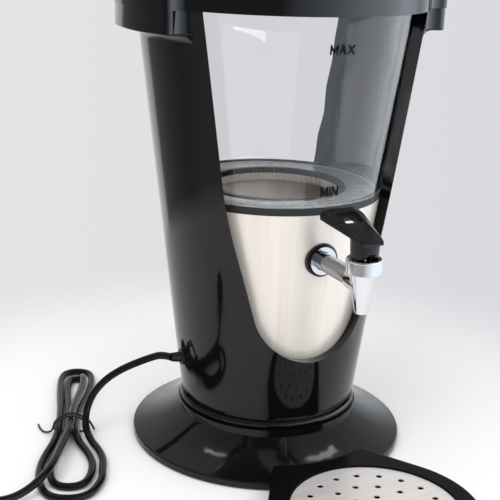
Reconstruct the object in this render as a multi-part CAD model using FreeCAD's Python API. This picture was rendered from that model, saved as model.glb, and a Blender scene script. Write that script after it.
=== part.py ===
import FreeCAD, Part
import math
import os

# Electric samovar with a glass upper tank, a lever tap and a loose drip tray.
# Millimetres. The origin is on the tank's axis where the feet stand, +Z is up and the tap faces -Y.

V = FreeCAD.Vector
X = V(1, 0, 0)
Y = V(0, 1, 0)
Z = V(0, 0, 1)
O = V(0, 0, 0)

# Arc height of a quarter turn over its radius
quarter_sag = 0.29

# Base skirt
base_radius = 130.0
rim_height = 8.0
rim_edge = 2.0
flare_step = 1.0
flare_rise = 21.5
flare_sag = 1.6
foot_stand = 1.5
foot_radius = 8.0
foot_count = 4
foot_inset = 18.0
foot_barb_radius = 3.6
foot_neck_radius = 3.0
foot_barb = 1.2
cover_thickness = 2.0
post_radius = 4.5
wall = 3.0
deck_opening = 26.0

# Neck rings under the shell
step_ledge = 1.5
step_height = 7.0
bead_stand = 4.5
bead_height = 7.0
bead_bulge = 1.5
groove_inset = 3.3
groove_height = 4.1
neck_inset = 17.3

# Body shell
shell_bottom_radius = 83.3
shell_taper = 0.1249
shell_height = 362.0
shell_flange = 3.0
seat_gap = 0.1

# Window, seen from the front
window_bottom = 103.0
window_bow = 57.0
window_bow_slope = 15.6
window_straight = 64.0
window_bend_height = 64.0
window_top_slope = 8.47
window_flange = 3.0
flange_skin = 1.0

# Ears
ear_reach = 17.5
lug_step = 1.0
ear_corner = 6.0
ear_blend = 15.0
ear_blend_angle = 31.5
lug_depth = 19.6
lug_edge = 1.5
lug_cove = 9.0
lug_cove_reach = 7.0
ear_screw_angle = 12.0
ear_screw_inset = 9.0

# Collar and lid
collar_step = 1.5
collar_height = 30.4
collar_edge = 5.0
collar_lip = 8.0
lid_rise = 10.0
lid_seat_radius = 66.0
lid_opening = 50.0
lid_skirt = 9.0
lid_play = 1.0
lid_thickness = 2.5
lid_dome = 2.0
plate_recess = 3.0
plate_hole_radius = 2.5
plate_hole_count = 12
plate_hole_circle = 34.0
plate_play = 0.5
plate_thickness = 1.2
plate_knob_radius = 13.0
plate_knob_height = 17.0
plate_knob_nut = 2.0
knob_stem_radius = 3.0
lid_shelf = 4.0
lid_skirt_wall = 2.0
lid_seal_height = 2.0
lid_seal_drop = 2.6
seal_reach = 2.5
collar_bore_gap = 1.0

# Tank
tank_inset = 10.0
tank_bottom = 95.0
tank_corner = 6.0
tank_sheet = 1.0
steel_top = 241.3
shelf_margin = 3.0
gasket_sheet = 2.0
gasket_band = 6.7
gasket_band_wall = 1.8
glass_wall = 4.0
glass_corner = 5.0
collar_seal_height = 2.0
glass_rim = 1.0
glass_opening = 63.0
clamp_wall = 3.0
clamp_flange_reach = 1.8
clamp_flange = 1.0
clamp_grip_count = 90
clamp_grip = 2.0
lock_tooth_count = 48
lock_tooth = 2.0
lock_ring_height = 4.0
lock_ring_reach = 8.0
fit_gap = 0.1

# Tank support
support_inset = 10.8
support_sheet = 1.5
support_window_angle = 54.0
support_window_margin = 2.5
support_leg_count = 4
support_flange = 4.0

# Heater and its parts
plate_radius = 56.0
heater_plate_thickness = 5.0
heater_tube_radius = 4.0
heater_ring_inset = 14.0
heater_gap_angle = 36.0
terminal_length = 12.0
terminal_reach = 6.6
spade_length = 8.0
cutout_radius = 9.0
cutout_height = 9.0
cutout_tab = 5.0
bulb_radius = 3.0
bulb_length = 46.0
bulb_offset = 24.0

# Controls at the rear
control_drop = 19.0
knob_radius = 17.0
knob_depth = 14.0
knob_boss_radius = 20.0
knob_boss_stand = 2.6
knob_gap = 0.5
shaft_radius = 3.0
shaft_fit = 0.05
shaft_depth = 8.0
shaft_flat = 9.0
knob_cap = 3.0
knob_grips = 24
grip_radius = 0.9
thermostat_width = 26.0
thermostat_depth = 14.0
thermostat_gap = 5.0
lamp_angle = 160.0
lens_radius = 4.5
lamp_length = 8.0
lamp_gap = 2.0

# Terminal block and wires under the tank
block_x = -34.0
block_y = -6.0
block_width = 24.0
block_length = 34.0
block_height = 14.0
block_way_radius = 2.2
block_way_pitch = 10.0
wire_radius = 1.1
wire_lead = 10.0
wire_rise = 3.5

# Cord
cord_diameter = 7.0
cord_radius = cord_diameter / 2
gland_height = 85.0
gland_angle = -93.6
gland_flange_radius = 7.5
gland_flange = 1.6
gland_boot_start = 4.8
gland_boot_end = 4.1
gland_knee = 3.5
gland_nut = 3.0
gland_inset = 7.0
tie_wire = 1.0
plug_neck_radius = 5.8
plug_neck_length = 16.0
plug_grip_length = 22.0
plug_face_radius = 18.2
plug_face_length = 16.0
plug_ribs = 3
plug_rib_pitch = 4.0
plug_rib_gap = 1.4
plug_lean = 16.0
plug_lead = 12.0
mains_pin_radius = 2.4
mains_pin_length = 19.0
mains_pin_spacing = 19.0
mains_pin_tip = 1.2
mains_pin_root = 10.0
mains_pin_root_radius = 3.0

# Route of the lead from the gland's end to the hank, and of the tail from the hank to the plug
lead_route = [
    V(-98.5, 5.5, 85.8),
    V(-104.6, 14.6, 85.9),
    V(-112.5, 23.0, 80.8),
    V(-123.0, 31.5, 74.0),
    V(-136.0, 41.0, 65.0),
    V(-149.5, 48.5, 53.5),
    V(-161.0, 51.5, 39.5),
    V(-168.8, 48.5, 24.5),
    V(-172.3, 39.5, 11.5),
    V(-171.5, 24.0, 4.2),
    V(-169.8, 6.0, 3.5),
    V(-172.0, -13.0, 3.5),
    V(-179.35, -32.7, 3.5),
]
tail_route = [
    V(-186.3, 42.3, 13.9),
    V(-199.1, 19.2, 14.2),
    V(-212.5, -5.7, 14.6),
    V(-224.8, -27.8, 15.0),
    V(-238.4, -43.0, 13.0),
    V(-253.9, -50.1, 7.5),
    V(-270.9, -55.6, 6.2),
]

# Hank, in its own frame: s runs along it from the waist, w across it
hank_x = -181.85
hank_y = 57.66
hank_turn = 20.1
hank_turns = 2
hank_pitch = 8.0
hank_lift = 2.4
hank_middle = 1.1
big_length = 132.0
big_half_width = 28.0
big_middle = 5.4
big_fold = 1.6
big_length_step = 20.0
big_width_step = 9.5
small_length = 138.0
small_half_width = 16.0
small_length_step = 20.0
small_width_step = 8.2
climb_start = 6.0

# Tap
tap_height = 200.0
tap_reach = 162.0
stem_radius = 8.0
stem_bore = 4.0
stem_hole_gap = 0.2
thread_depth = 0.5
thread_pitch = 2.0
gasket_radius = 15.0
tap_gasket_thickness = 3.0
escutcheon_radius = 14.3
escutcheon_thickness = 2.5
nut_across = 24.0
nut_height = 6.0
washer_thickness = 2.0
socket_radius = 9.8
socket_length = 16.0
spout_drop = 25.0
spout_radius = 5.5
spout_bore = 3.6
cone_rise = 34.0
cone_radius = 11.7
head_radius = 15.0
head_drop = 2.5
head_height = 9.5
chamber_radius = 8.5
chamber_drop = 5.0
bonnet_flange = 2.0
bonnet_edge = 0.6
bonnet_plug_depth = 7.0
plug_fit = 0.05
rod_radius = 2.5
rod_fit = 0.05
seal_radius = 7.0
seal_thickness = 3.0
spring_wire = 0.8
spring_radius = 5.6
spring_turns = 5
pin_radius = 1.5
rod_head = 3.0
lever_heel = 7.9
lever_lift = 3.5
lever_open_angle = 65.0
lever_hub_radius = 12.6
lever_hub_taper = 1.1
lever_front = 11.0
lever_front_half_width = 9.8
lever_front_rise = 8.4
lever_front_thickness = 3.0
lever_tip_half_width = 20.6
lever_tip_reach = 43.0
lever_tip_rise = 23.7
lever_tip_thickness = 7.0
lever_strip_half_width = 11.0
lever_wing_drop = 5.0
lever_recess_start = 19.0
lever_recess_rim = 7.0
lever_recess_depth = 2.5
lever_hole_start = 22.5
lever_hole_length = 8.5
lever_hole_half_width = 5.2
lever_slot_gap = 0.4
lever_play = 0.12

# Drip tray
tray_radius = 90.0
tray_reach = 204.0
tray_height = 18.0
tray_horn_x = 46.0
tray_horn_y = 106.0
tray_rear_radius = 114.0
tray_edge = 4.0
tray_wall = 3.0
tray_clearance = 0.5
tray_floor = 2.0
grille_radius = 71.5
grille_thickness = 1.2
grille_drop = 1.5
grille_play = 0.6
grille_ledge = 4.0
grille_hole_radius = 2.75
grille_ring_radii = (56.5, 38.0, 20.0)
grille_ring_counts = (18, 12, 6)
grille_phase = 55.2

# Screws
screw_radius = 1.75
screw_head_radius = 3.4
screw_head = 2.4
screw_bite = 9.0
flat_screw_head = 0.9
screw_hole_gap = 0.25

# Radii that follow from the sizes above
groove_radius = shell_bottom_radius - groove_inset
bead_radius = groove_radius + bead_stand
step_radius = bead_radius + step_ledge
flare_top_radius = step_radius + flare_step
neck_bore = shell_bottom_radius - neck_inset
support_radius = shell_bottom_radius - support_inset
foot_circle = base_radius - foot_inset
collar_radius = shell_bottom_radius + shell_taper * shell_height + collar_step
ear_radius = collar_radius + ear_reach
lug_radius = ear_radius - lug_step
shelf_radius = glass_opening + shelf_margin
clamp_bore = glass_opening - clamp_wall
clamp_flange_radius = glass_opening + clamp_flange_reach
lock_ring_radius = glass_opening + lock_ring_reach
heater_ring_radius = plate_radius - heater_ring_inset

# Heights that follow from the sizes above
skirt_bottom = foot_stand
cover_top = skirt_bottom + cover_thickness
rim_top = rim_height
flare_top = rim_height + flare_rise
step_top = flare_top + step_height
bead_top = step_top + bead_height
shell_bottom = bead_top + groove_height
shell_top = shell_bottom + shell_height
lug_bottom = shell_top - lug_depth
collar_top = shell_top + collar_height
flange_top = shell_bottom + shell_flange
gasket_top = steel_top + gasket_band
glass_bottom = steel_top + gasket_sheet
glass_top = collar_top - wall - collar_seal_height
support_top = tank_bottom
control_height = tank_bottom - control_drop
tap_y = -tap_reach
spout_tip = tap_height - spout_drop
cone_top = spout_tip + cone_rise
head_top = cone_top + head_drop + head_height - 1.0
bonnet_top = head_top + bonnet_flange
pin_height = bonnet_top + lever_heel
tray_deck = tray_height - grille_drop
lid_edge_radius = collar_radius - collar_edge
lid_top = collar_top + lid_rise
plate_bottom = lid_top - plate_recess
heater_bottom = tank_bottom - heater_plate_thickness
heater_height = heater_bottom - heater_tube_radius
chamber_floor = tap_height - chamber_drop
seal_top = chamber_floor + seal_thickness
plug_length = plug_neck_length + plug_grip_length + plug_face_length


def shell_radius(z):
    return shell_bottom_radius + shell_taper * (z - shell_bottom)


def tank_radius(z):
    return shell_radius(z) - tank_inset


def boss_face():
    # Flat front of the boss behind the knob
    return shell_radius(control_height + knob_boss_radius) + knob_boss_stand


glass_top_radius = tank_radius(glass_top)
collar_bore = glass_top_radius + collar_bore_gap
collar_throat = collar_bore - collar_lip
lid_skirt_radius = collar_throat - lid_play - seal_reach


def polar(radius, degrees, z=0.0):
    # Angles run from the front, -Y, towards +X.
    a = math.radians(degrees)
    return V(radius * math.sin(a), -radius * math.cos(a), z)


def outward(degrees):
    return polar(1.0, degrees)


def revolve(points):
    # Points are (radius, z) pairs; a triple's third value is the bulge of the edge that follows.
    wire_edges = []
    count = len(points)
    for i in range(count):
        a = points[i]
        b = points[(i + 1) % count]
        pa = V(a[0], 0, a[1])
        pb = V(b[0], 0, b[1])
        if len(a) == 3:
            middle = (pa + pb) * 0.5
            side = V(pb.z - pa.z, 0, pa.x - pb.x)
            side.normalize()
            wire_edges.append(Part.Arc(pa, middle + side * a[2], pb).toShape())
        else:
            wire_edges.append(Part.LineSegment(pa, pb).toShape())
    face = Part.Face(Part.Wire(wire_edges))
    return face.revolve(O, Z, 360)


def ring(inner, outer, low, high):
    return revolve([(inner, low), (outer, low), (outer, high), (inner, high)])


def disc(radius, low, high):
    return Part.makeCylinder(radius, high - low, V(0, 0, low))


def rod(radius, start, axis, length):
    return Part.makeCylinder(radius, length, start, axis)


def fuse(shapes):
    body = shapes[0].multiFuse(shapes[1:])
    return body.removeSplitter()


def group(shapes):
    return Part.makeCompound(shapes)


def save(name, shape):
    solids = shape.Solids
    if not shape.isValid():
        print("invalid shape", name)
    print(name, "solids", len(solids), "volume", round(shape.Volume, 1))
    shape.exportStep("parts/" + name + ".step")


def cone_solid(radius_at, low, high, offset=0.0):
    return Part.makeCone(radius_at(low) + offset, radius_at(high) + offset, high - low, V(0, 0, low))


def round_edges(shape, radius, wanted):
    edges = [e for e in shape.Edges if wanted(e)]
    return shape.makeFillet(radius, edges)


def arc_through(a, b, c):
    return Part.Arc(a, b, c).toShape()


def line(a, b):
    return Part.LineSegment(a, b).toShape()


# Screws, used in several places

def screw(head_at, axis, length, head_height=screw_head):
    head = rod(screw_head_radius, head_at - axis * head_height, axis, head_height)
    shank = rod(screw_radius, head_at, axis, length)
    drive = rod(screw_radius * 0.6, head_at - axis * head_height, axis, head_height * 0.5)
    return head.fuse(shank).cut(drive)


def screw_hole(head_at, axis, length):
    sink = screw_head + 0.5
    shank = rod(screw_radius + screw_hole_gap, head_at, axis, length)
    head = rod(screw_head_radius + screw_hole_gap, head_at - axis * sink, axis, sink)
    return shank.fuse(head)


# Base

def flare_profile(offset):
    # Outer line of the skirt from the rim to the step ring, drawn in by the offset.
    return [
        (base_radius - offset, skirt_bottom),
        (base_radius - offset, rim_top - offset * 0.3 - rim_edge, 0.6),
        (base_radius - offset - rim_edge, rim_top - offset * 0.9, -flare_sag),
        (flare_top_radius - offset * 0.4, flare_top - offset),
    ]


def cover_screw_places():
    return [polar(foot_circle, 45 + 360 / foot_count * (i + 0.5)) for i in range(foot_count)]


def foot_places():
    return [polar(foot_circle, 45 + 360 / foot_count * i) for i in range(foot_count)]


def shell_screw_places():
    middle = (neck_bore + groove_radius) / 2
    return [polar(middle, 90 * i) for i in range(4)]


def base_skirt():
    outside = flare_profile(0.0)
    outside += [(step_radius, flare_top + 0.6), (step_radius, step_top), (deck_opening, step_top)]
    outside += [(deck_opening, step_top - wall), (step_radius - wall, step_top - wall)]
    inside = flare_profile(wall)
    inside = [(inside[3][0], inside[3][1]), (inside[2][0], inside[2][1]), (inside[0][0], rim_top - 4.0)]
    inside += [(base_radius - wall, skirt_bottom)]
    body = revolve(outside + inside)
    middle = flare_profile(wall / 2)
    room = revolve(middle + [(deck_opening, middle[-1][1]), (deck_opening, skirt_bottom)])
    posts = [rod(post_radius, V(p.x, p.y, cover_top), Z, flare_rise) for p in cover_screw_places()]
    body = fuse([body] + [post.common(room) for post in posts])
    for p in cover_screw_places():
        body = body.cut(rod(screw_radius, V(p.x, p.y, cover_top), Z, screw_bite))
    for p in shell_screw_places():
        body = body.cut(screw_hole(V(p.x, p.y, step_top - wall), Z, wall))
    return body


def base_cover():
    plate = ring(deck_opening, base_radius - wall - 0.2, skirt_bottom, cover_top)
    sink = flat_screw_head + 0.1
    for p in cover_screw_places():
        start = V(p.x, p.y, skirt_bottom)
        plate = plate.cut(rod(screw_radius + screw_hole_gap, start, Z, cover_thickness))
        plate = plate.cut(rod(screw_head_radius + screw_hole_gap, start, Z, sink))
    for p in foot_places():
        plate = plate.cut(rod(foot_neck_radius, V(p.x, p.y, skirt_bottom), Z, cover_thickness))
    return plate


def rubber_feet():
    feet = []
    for p in foot_places():
        pad = Part.makeCone(foot_radius - 0.5, foot_radius, foot_stand, V(p.x, p.y, 0))
        neck = rod(foot_neck_radius - fit_gap, V(p.x, p.y, foot_stand), Z, cover_thickness)
        barb = rod(foot_barb_radius, V(p.x, p.y, cover_top), Z, foot_barb)
        feet.append(fuse([pad, neck, barb]))
    return group(feet)


def cover_screws():
    seat = skirt_bottom + flat_screw_head + 0.1
    length = cover_top + screw_bite - seat - 0.5
    return group([screw(V(p.x, p.y, seat), Z, length, flat_screw_head) for p in cover_screw_places()])


def bead_ring():
    profile = [
        (neck_bore, step_top),
        (bead_radius - bead_bulge, step_top, bead_bulge),
        (bead_radius - bead_bulge, bead_top),
        (groove_radius, bead_top),
        (groove_radius, shell_bottom),
        (neck_bore, shell_bottom),
    ]
    body = revolve(profile)
    for p in shell_screw_places():
        body = body.cut(rod(screw_radius + screw_hole_gap, V(p.x, p.y, step_top), Z, shell_bottom - step_top))
    return body


def shell_screws():
    length = flange_top - step_top + wall - 0.3
    return group([screw(V(p.x, p.y, step_top - wall), Z, length) for p in shell_screw_places()])


# Windows in the shell

def window_outline(grow):
    # Half outline in X and Z, from the lowest point up the +X side, moved outwards by grow.
    top = collar_top
    a1 = math.radians(window_bow_slope)
    a2 = math.radians(window_top_slope)
    centre = window_bottom + window_bow
    bow = window_bow + grow
    p0 = (0.0, centre - bow)
    p1 = (bow * math.cos(a1), centre - bow * math.sin(a1))
    p2 = (p1[0] + window_straight * math.sin(a1), p1[1] + window_straight * math.cos(a1))
    mean = (a1 + a2) / 2
    chord = window_bend_height / math.cos(mean)
    bend = chord / 2 / math.sin((a1 - a2) / 2)
    inner2 = (p2[0] - grow * math.cos(a1), p2[1] + grow * math.sin(a1))
    heart = (inner2[0] - bend * math.cos(a1), inner2[1] + bend * math.sin(a1))
    big = bend + grow
    pm = (heart[0] + big * math.cos(mean), heart[1] - big * math.sin(mean))
    p3 = (heart[0] + big * math.cos(a2), heart[1] - big * math.sin(a2))
    p4 = (p3[0] + (top - p3[1]) * math.tan(a2), top)
    return p0, p1, p2, pm, p3, p4


def window_block(grow, side):
    # A prism through one side of the shell; side is -1 for the front and 1 for the rear.
    p0, p1, p2, pm, p3, p4 = window_outline(grow)

    def at(p, sign=1.0):
        return V(sign * p[0], 0, p[1])

    edges = [
        line(at(p4, -1), at(p3, -1)),
        arc_through(at(p3, -1), at(pm, -1), at(p2, -1)),
        line(at(p2, -1), at(p1, -1)),
        arc_through(at(p1, -1), at(p0), at(p1)),
        line(at(p1), at(p2)),
        arc_through(at(p2), at(pm), at(p3)),
        line(at(p3), at(p4)),
        line(at(p4), at(p4, -1)),
    ]
    face = Part.Face(Part.Wire(edges))
    return face.extrude(V(0, side * (base_radius + 20), 0))


def ear_outline(outer, base, z, inner, offset=0.0):
    # Plan outline of one ear on +X: outer arc, rounded corners, concave blends into the base circle,
    # all drawn in by the offset.
    corner_at = outer - ear_corner
    blend_at = base + ear_blend
    reach = ear_corner + ear_blend
    corner_radius = ear_corner - offset
    blend_radius = ear_blend + offset
    cosine = (corner_at ** 2 + blend_at ** 2 - reach ** 2) / (2 * corner_at * blend_at)
    blend_angle = math.radians(ear_blend_angle)
    corner_angle = blend_angle - math.acos(cosine)

    def spot(radius, angle):
        return V(radius * math.cos(angle), radius * math.sin(angle), z)

    def half(sign):
        hub = spot(corner_at, sign * corner_angle)
        well = spot(blend_at, sign * blend_angle)
        start = spot(outer - offset, sign * corner_angle)
        touch = hub + (well - hub) * (corner_radius / reach)
        end = spot(base - offset, sign * blend_angle)
        first = (start - hub) + (touch - hub)
        first.normalize()
        second = (touch - well) + (end - well)
        second.normalize()
        corner = arc_through(start, hub + first * corner_radius, touch)
        blend = arc_through(touch, well + second * blend_radius, end)
        return start, corner, blend, end

    a_start, a_corner, a_blend, a_end = half(-1)
    b_start, b_corner, b_blend, b_end = half(1)
    crown = arc_through(a_start, spot(outer - offset, 0), b_start)
    a_in = spot(inner, -blend_angle)
    b_in = spot(inner, blend_angle)
    back = arc_through(b_in, spot(inner, 0), a_in)
    edges = [a_blend, a_corner, crown, b_corner, b_blend, line(b_end, b_in), back, line(a_in, a_end)]
    return Part.Face(Part.Wire(Part.__sortEdges__(edges)))


def mirrored(shape):
    return shape.mirror(O, X)


def ear_screw_places():
    radius = lug_radius - ear_screw_inset
    angles = [90 + s * ear_screw_angle for s in (-1, 1)]
    return [polar(radius, a) for a in angles] + [polar(radius, -a) for a in angles]


def lug():
    base = shell_radius(lug_bottom)
    inner = base - wall
    block = ear_outline(lug_radius, base, lug_bottom, inner).extrude(V(0, 0, lug_depth))

    def low_rim(edge):
        box = edge.BoundBox
        flat = abs(box.ZMin - lug_bottom) < 0.01 and abs(box.ZMax - lug_bottom) < 0.01
        return flat and box.XMax > base + 0.5

    block = round_edges(block, lug_edge, low_rim)
    hollow = ear_outline(lug_radius, base, lug_bottom + wall + lug_edge / 2, inner - wall, wall)
    hollow = hollow.extrude(V(0, 0, lug_depth))
    return block.cut(hollow)


def lug_coves():
    # Rounded underside where a lug meets the shell wall, no longer than the lug
    spread = ear_blend_angle + 3.0
    radius = shell_radius(lug_bottom - lug_cove)
    top = shell_radius(lug_bottom)
    middle = V(radius + lug_cove_reach * 0.4, 0, lug_bottom - lug_cove * 0.32)
    edges = [
        line(V(top - 1, 0, lug_bottom), V(top + lug_cove_reach, 0, lug_bottom)),
        arc_through(V(top + lug_cove_reach, 0, lug_bottom), middle, V(radius, 0, lug_bottom - lug_cove)),
        line(V(radius, 0, lug_bottom - lug_cove), V(radius - 1, 0, lug_bottom - lug_cove)),
        line(V(radius - 1, 0, lug_bottom - lug_cove), V(top - 1, 0, lug_bottom)),
    ]
    face = Part.Face(Part.Wire(edges))
    face.rotate(O, Z, -spread)
    cove = face.revolve(O, Z, 2 * spread)
    plan = ear_outline(lug_radius, radius, lug_bottom - lug_cove, radius - wall)
    return cove.common(plan.extrude(V(0, 0, lug_cove)))


def lug_bosses():
    height = lug_depth - 1.0
    return [rod(post_radius, V(p.x, p.y, lug_bottom + 1.0), Z, height) for p in ear_screw_places()]


def body_shell():
    outer = cone_solid(shell_radius, shell_bottom, shell_top)
    inner = cone_solid(shell_radius, flange_top, shell_top, -wall)
    bottom_hole = disc(neck_bore, shell_bottom, flange_top)
    inside = inner.fuse(bottom_hole)
    ears = lug()
    cove = lug_coves()
    coves = [cove, mirrored(cove)]
    body = fuse([outer, ears, mirrored(ears)] + coves + lug_bosses())
    body = body.cut(inside)
    flange_outer = cone_solid(shell_radius, shell_bottom, shell_top, -flange_skin)
    flange_inner = cone_solid(tank_radius, shell_bottom, shell_top, seat_gap * 3)
    room = flange_outer.cut(flange_inner)
    for side in (-1, 1):
        body = body.fuse(window_block(window_flange, side).common(room))
    for side in (-1, 1):
        body = body.cut(window_block(0.0, side))
    boss_back = shell_radius(control_height) - 2 * wall
    boss = rod(knob_boss_radius, V(0, boss_back, control_height), Y, boss_face() - boss_back)
    boss = boss.cut(cone_solid(shell_radius, flange_top, shell_top, -wall))
    body = body.fuse(boss).removeSplitter()
    body = body.cut(rod(shaft_radius + 0.4, V(0, 0, control_height), Y, base_radius))
    body = body.cut(rod(lens_radius - 0.4, V(0, 0, control_height), outward(lamp_angle), base_radius))
    body = body.cut(rod(gland_boot_start + 0.2, V(0, 0, gland_height), outward(gland_angle), base_radius))
    for p in ear_screw_places():
        body = body.cut(screw_hole(V(p.x, p.y, lug_bottom + screw_head), Z, lug_depth))
    for p in shell_screw_places():
        body = body.cut(rod(screw_radius, V(p.x, p.y, shell_bottom), Z, shell_flange))
    return body.removeSplitter()


# Tank

def steel_tank():
    low = tank_bottom
    inner_corner = tank_corner - tank_sheet
    profile = [
        (0.0, low),
        (tank_radius(low) - tank_corner, low, tank_corner * quarter_sag),
        (tank_radius(low + tank_corner), low + tank_corner),
        (tank_radius(steel_top), steel_top),
        (shelf_radius, steel_top),
        (shelf_radius, steel_top - tank_sheet),
        (tank_radius(steel_top) - tank_sheet, steel_top - tank_sheet),
        (tank_radius(low + tank_corner) - tank_sheet, low + tank_corner, -inner_corner * quarter_sag),
        (tank_radius(low) - tank_corner, low + tank_sheet),
        (0.0, low + tank_sheet),
    ]
    body = revolve(profile)
    return body.cut(rod(stem_radius + stem_hole_gap, V(0, 0, tap_height), -Y, base_radius))


def band_radius():
    return tank_radius(gasket_top) - 0.2


def tank_gasket():
    # The black band round the joint between glass and steel
    inner = band_radius() - gasket_band_wall
    profile = [
        (inner, steel_top),
        (tank_radius(steel_top), steel_top),
        (band_radius(), gasket_top),
        (inner, gasket_top),
    ]
    return revolve(profile)


def glass_seal():
    # The pale flat seal that the glass stands on
    return ring(shelf_radius, band_radius() - gasket_band_wall, steel_top, glass_bottom)


def glass_tank():
    step = band_radius() - gasket_band_wall
    corner = glass_corner
    profile = [
        (glass_opening, glass_bottom),
        (step - corner, glass_bottom, corner * quarter_sag),
        (step, glass_bottom + corner),
        (step, gasket_top),
        (tank_radius(gasket_top), gasket_top),
        (tank_radius(glass_top), glass_top - glass_rim, glass_rim),
        (tank_radius(glass_top) - glass_wall, glass_top - glass_rim),
        (tank_radius(gasket_top + corner) - glass_wall, gasket_top + corner, -corner * 0.4),
        (step - corner * 1.6, glass_bottom + glass_wall),
        (glass_opening, glass_bottom + glass_wall),
    ]
    return revolve(profile)


def toothed(body, count, tooth, radius, low, high):
    teeth = []
    for i in range(count):
        p = polar(radius, 360 / count * i, low - 0.5)
        teeth.append(rod(tooth / 2, p, Z, high - low + 1.0))
    return body.cut(group(teeth))


def clamp_ring():
    low = steel_top - tank_sheet - lock_ring_height
    seat = glass_bottom + glass_wall
    sleeve = ring(clamp_bore, glass_opening - fit_gap, low, seat)
    flange = ring(clamp_bore, clamp_flange_radius, seat, seat + clamp_flange)
    body = fuse([sleeve, flange])
    return toothed(body, clamp_grip_count, clamp_grip, clamp_bore, low, seat + clamp_flange)


def lock_ring():
    top = steel_top - tank_sheet
    body = ring(glass_opening, lock_ring_radius, top - lock_ring_height, top)
    return toothed(body, lock_tooth_count, lock_tooth, lock_ring_radius, top - lock_ring_height, top)


def tank_support():
    inner = support_radius - support_sheet
    profile = [
        (inner, flange_top),
        (support_radius + support_flange, flange_top),
        (support_radius + support_flange, flange_top + support_sheet),
        (support_radius, flange_top + support_sheet),
        (support_radius, support_top),
        (plate_radius + support_flange, support_top),
        (plate_radius + support_flange, support_top - support_sheet),
        (inner, support_top - support_sheet),
    ]
    body = revolve(profile)
    low = flange_top + support_window_margin
    high = support_top - support_window_margin
    half = math.radians(support_window_angle / 2)
    width = 2 * support_radius * math.sin(half)
    for i in range(support_leg_count):
        block = Part.makeBox(width, support_radius + 2, high - low, V(-width / 2, 0, low))
        block.rotate(O, Z, 360 / support_leg_count * i)
        body = body.cut(block.common(ring(inner - 4, support_radius + 1, low, high)))
    return body


# Heater and electrical parts

def heater_plate():
    return disc(plate_radius, heater_bottom, tank_bottom)


def heater_tube():
    start = V(heater_ring_radius, 0, heater_height)
    face = Part.Face(Part.Wire(Part.makeCircle(heater_tube_radius, start, Y)))
    body = face.revolve(O, Z, 360 - heater_gap_angle)
    body.rotate(O, Z, -90 + heater_gap_angle / 2)
    return body


def heater_end(sign):
    return polar(heater_ring_radius, sign * heater_gap_angle / 2, heater_height)


def heater_tab(sign):
    # Where the lead of the heater turns down to its tab
    lean = math.radians(heater_gap_angle / 2)
    along = V(-sign * math.cos(lean), -math.sin(lean), 0)
    return heater_end(sign) + along * terminal_reach


def heater_terminals():
    pins = []
    for sign in (-1, 1):
        start = heater_end(sign)
        tip = heater_tab(sign)
        neck = rod(2.0, start, tip - start, terminal_reach)
        tab = rod(1.2, tip, -Z, terminal_length)
        pins.append(fuse([neck, tab]))
    return group(pins)


def spade(x, y, z):
    # A flat tab with its base at the given place
    return Part.makeBox(1.0, 5.0, spade_length, V(x - 0.5, y - 2.5, z - spade_length))


def thermal_cutout():
    low = heater_bottom - cutout_height
    cup = rod(cutout_radius, V(0, 0, low), Z, cutout_height)
    return fuse([cup, spade(-cutout_tab, 0, low), spade(cutout_tab, 0, low)])


def thermostat_sensor():
    start = V(-bulb_length / 2, bulb_offset, heater_bottom - bulb_radius)
    return rod(bulb_radius, start, X, bulb_length)


def thermostat_front():
    return shell_radius(control_height - thermostat_width / 2) - wall - thermostat_gap


def thermostat_body():
    front = thermostat_front()
    back = front - thermostat_depth
    half = thermostat_width / 2
    corner = V(-half, back, control_height - half)
    box = Part.makeBox(thermostat_width, thermostat_depth, thermostat_width, corner)
    box = round_edges(box, 3.0, lambda e: e.BoundBox.YLength > thermostat_depth - 0.1)
    neck = rod(shaft_radius + 2.5, V(0, front, control_height), Y, thermostat_gap + wall)
    neck = neck.common(cone_solid(shell_radius, flange_top, shell_top, -wall - fit_gap))
    pieces = [box, neck]
    for x in (-spade_length, spade_length):
        pieces.append(Part.makeBox(2.0, spade_length, 6.0, V(x - 1, back - spade_length, control_height - 3)))
    body = fuse(pieces)
    return body.cut(rod(shaft_radius + shaft_fit, V(0, front - shaft_depth, control_height), Y, 30))


def thermostat_shaft():
    start = thermostat_front() - shaft_depth + 0.5
    end = boss_face() + knob_gap + knob_depth - knob_cap
    shaft = rod(shaft_radius, V(0, start, control_height), Y, end - start)
    flat = Part.makeBox(10, shaft_flat, 10, V(-5, end - shaft_flat, control_height + shaft_radius - 1.0))
    return shaft.cut(flat)


def thermostat_knob():
    back = boss_face() + knob_gap
    end = back + knob_depth
    body = Part.makeCone(knob_radius, knob_radius - 1.5, knob_depth, V(0, back, control_height), Y)
    body = round_edges(body, 1.5, lambda e: e.BoundBox.YMin > end - 0.1)
    grips = []
    for i in range(knob_grips):
        a = 2 * math.pi / knob_grips * i
        x = (knob_radius + 0.2) * math.cos(a)
        z = control_height + (knob_radius + 0.2) * math.sin(a)
        grips.append(rod(grip_radius, V(x, back + 2.0, z), Y, knob_depth))
    body = body.cut(group(grips))
    round_bore = rod(shaft_radius, V(0, back, control_height), Y, knob_depth - knob_cap - shaft_flat)
    return body.cut(thermostat_shaft()).cut(round_bore)


def lamp_place(radius):
    return polar(radius, lamp_angle, control_height)


def lamp_inner():
    return shell_radius(control_height) - wall - lamp_gap


def indicator_lens():
    axis = outward(lamp_angle)
    brim = lens_radius + 1.0
    seat = shell_radius(control_height) + shell_taper * brim + seat_gap
    rim = 1.2
    stem = rod(lens_radius - 0.5, lamp_place(lamp_inner()), axis, seat - lamp_inner())
    head = rod(brim, lamp_place(seat), axis, rim)
    dome = Part.makeSphere(brim, lamp_place(seat - 1.6))
    cap = dome.common(rod(brim, lamp_place(seat + rim), axis, brim))
    return fuse([stem, head, cap])


def lamp_body():
    return rod(lens_radius, lamp_place(lamp_inner() - lamp_length), outward(lamp_angle), lamp_length)


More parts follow.
